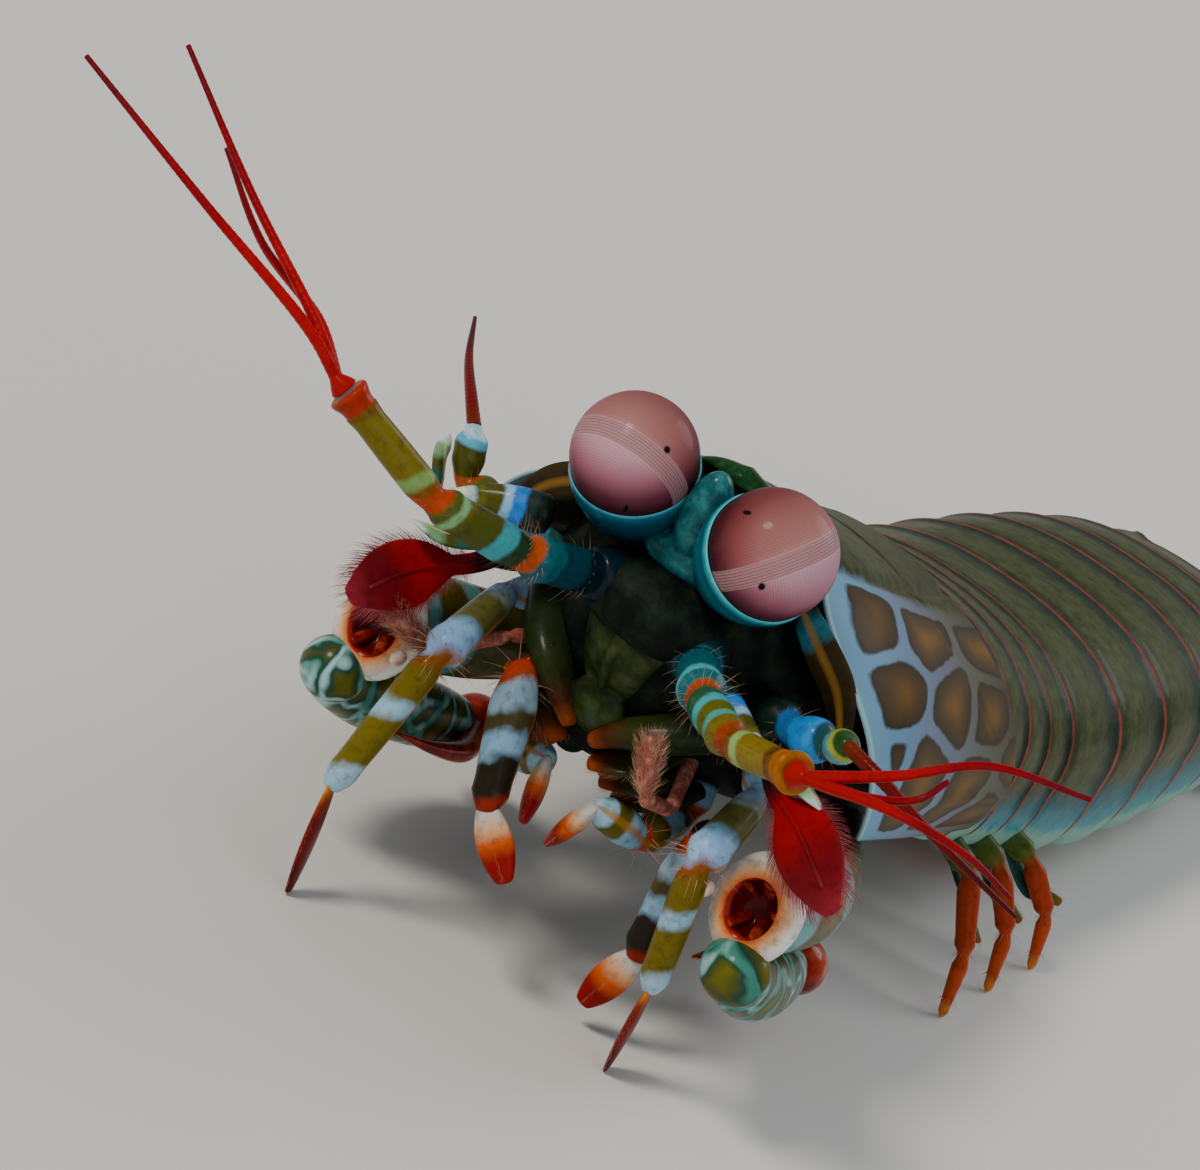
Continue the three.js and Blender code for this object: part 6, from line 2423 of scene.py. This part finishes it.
@dataclass
class Stage:
    """The floor, the lights and the camera at the photograph's angle."""

    pose: PoseFrame
    azimuth: float = 20.0  # degrees from straight ahead towards the left
    elevation: float = 17.0
    roll: float = 30.0  # the photograph is tilted
    target: Point = (-1.78, -2.68, 23.9)
    distance: float = 160.0  # from the target to the camera
    lens: float = 91.2
    sensor: float = 36.0
    lit: Point = (0.0, 20.0, 18.0)  # where the lights point
    floor_reach: float = 6.0  # metres from the middle to each side of the floor

    def axes(self) -> tuple[Array, Array, Array]:
        """The camera's right, up and forward directions."""
        turn, dip, roll = (math.radians(a) for a in (self.azimuth, self.elevation, self.roll))
        ahead = np.array([-math.sin(turn) * math.cos(dip), math.cos(turn) * math.cos(dip), -math.sin(dip)])
        level = np.array([math.cos(turn), math.sin(turn), 0.0])
        upright = np.cross(level, ahead)
        right = math.cos(roll) * level + math.sin(roll) * upright
        up = -math.sin(roll) * level + math.cos(roll) * upright
        return right, up, ahead

    def camera(self) -> None:
        """Place the camera and make it the scene's."""
        data = bpy.data.cameras.new("photo_camera")
        data.lens = self.lens
        data.sensor_width = self.sensor
        data.sensor_fit = "HORIZONTAL"
        data.clip_start = 0.002
        right, up, ahead = self.axes()
        place = self.pose.metres(np.array(self.target) - self.distance * ahead)
        matrix = np.eye(4)
        matrix[:3] = np.stack([right, up, -ahead, place], axis=-1)
        made = link("photo_camera", data)
        made.matrix_world = Matrix(matrix.tolist())
        bpy.context.scene.camera = made

    def light(self, name: str, place: Point, spread: float, power: float, tint: str) -> None:
        """Add a broad even light that shines on the head.

        Args:
            name: Its name.
            place: Where it shines from, in the pose's millimetres.
            spread: Its width as an angle in degrees, which softens the shadows.
            power: Its power in watts for each square metre.
            tint: Its colour.
        """
        data = bpy.data.lights.new(name, "SUN")
        data.angle = math.radians(spread)
        data.energy = power
        data.color = linear(tint)[:3]
        where, aim = (Vector(self.pose.metres(np.array(spot))) for spot in (place, self.lit))
        made = link(name, data)
        made.location = where
        made.rotation_euler = (aim - where).to_track_quat("-Z", "Y").to_euler()

    def floor(self) -> None:
        """Lay the plain pale floor and set the pale surroundings."""
        mesh = bpy.data.meshes.new("floor")
        reach = self.floor_reach
        corners = [(-reach, -reach, 0), (reach, -reach, 0), (reach, reach, 0), (-reach, reach, 0)]
        mesh.from_pydata(corners, [], [(0, 1, 2, 3)])
        material = bpy.data.materials.new("pale_studio_floor")  # matt backdrop board
        world = bpy.data.worlds.new("pale_studio")
        for owner in (material, world):
            owner.use_nodes = True
            owner.node_tree.nodes.clear()
        tree = material.node_tree
        shader = add_node(tree, "BsdfPrincipled", {"Base Color": "#e8e7e3", "Roughness": 0.75})
        add_node(tree, "OutputMaterial", {"Surface": shader})
        mesh.materials.append(material)
        link("floor", mesh)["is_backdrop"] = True
        sky = add_node(world.node_tree, "Background", {"Color": "#eef0f2", "Strength": 0.38})
        add_node(world.node_tree, "OutputWorld", {"Surface": sky})
        bpy.context.scene.world = world

    def build(self) -> None:
        """Set the stage."""
        self.floor()
        self.camera()
        self.light("key_sun", (-110, -170, 250), 14, 1.9, "#fff4e8")
        self.light("fill_sun", (210, -170, 120), 50, 0.55, "#eef4ff")
        self.light("back_sun", (90, 240, 190), 30, 0.7, "#ffffff")


def main() -> None:
    """Load the frame, build the animal over it and set the stage."""
    logging.basicConfig(level=logging.INFO, format="%(name)s: %(message)s")
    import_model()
    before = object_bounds()
    pose = PoseFrame.from_nodes()
    Stage(pose).build()
    bench = Bench(pose)
    for assembly in (Eyes, HeadShell, Antennules, Antennae, Claws, Holders, BodyRings, Legs, TailFan):
        LOG.info("building %s", assembly.__name__)
        assembly(bench).build()
    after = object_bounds()
    sizes = {"cad": [list(corner) for corner in before], "visual": [list(corner) for corner in after]}
    json.dumps(sizes)


if __name__ == "__main__":
    main()
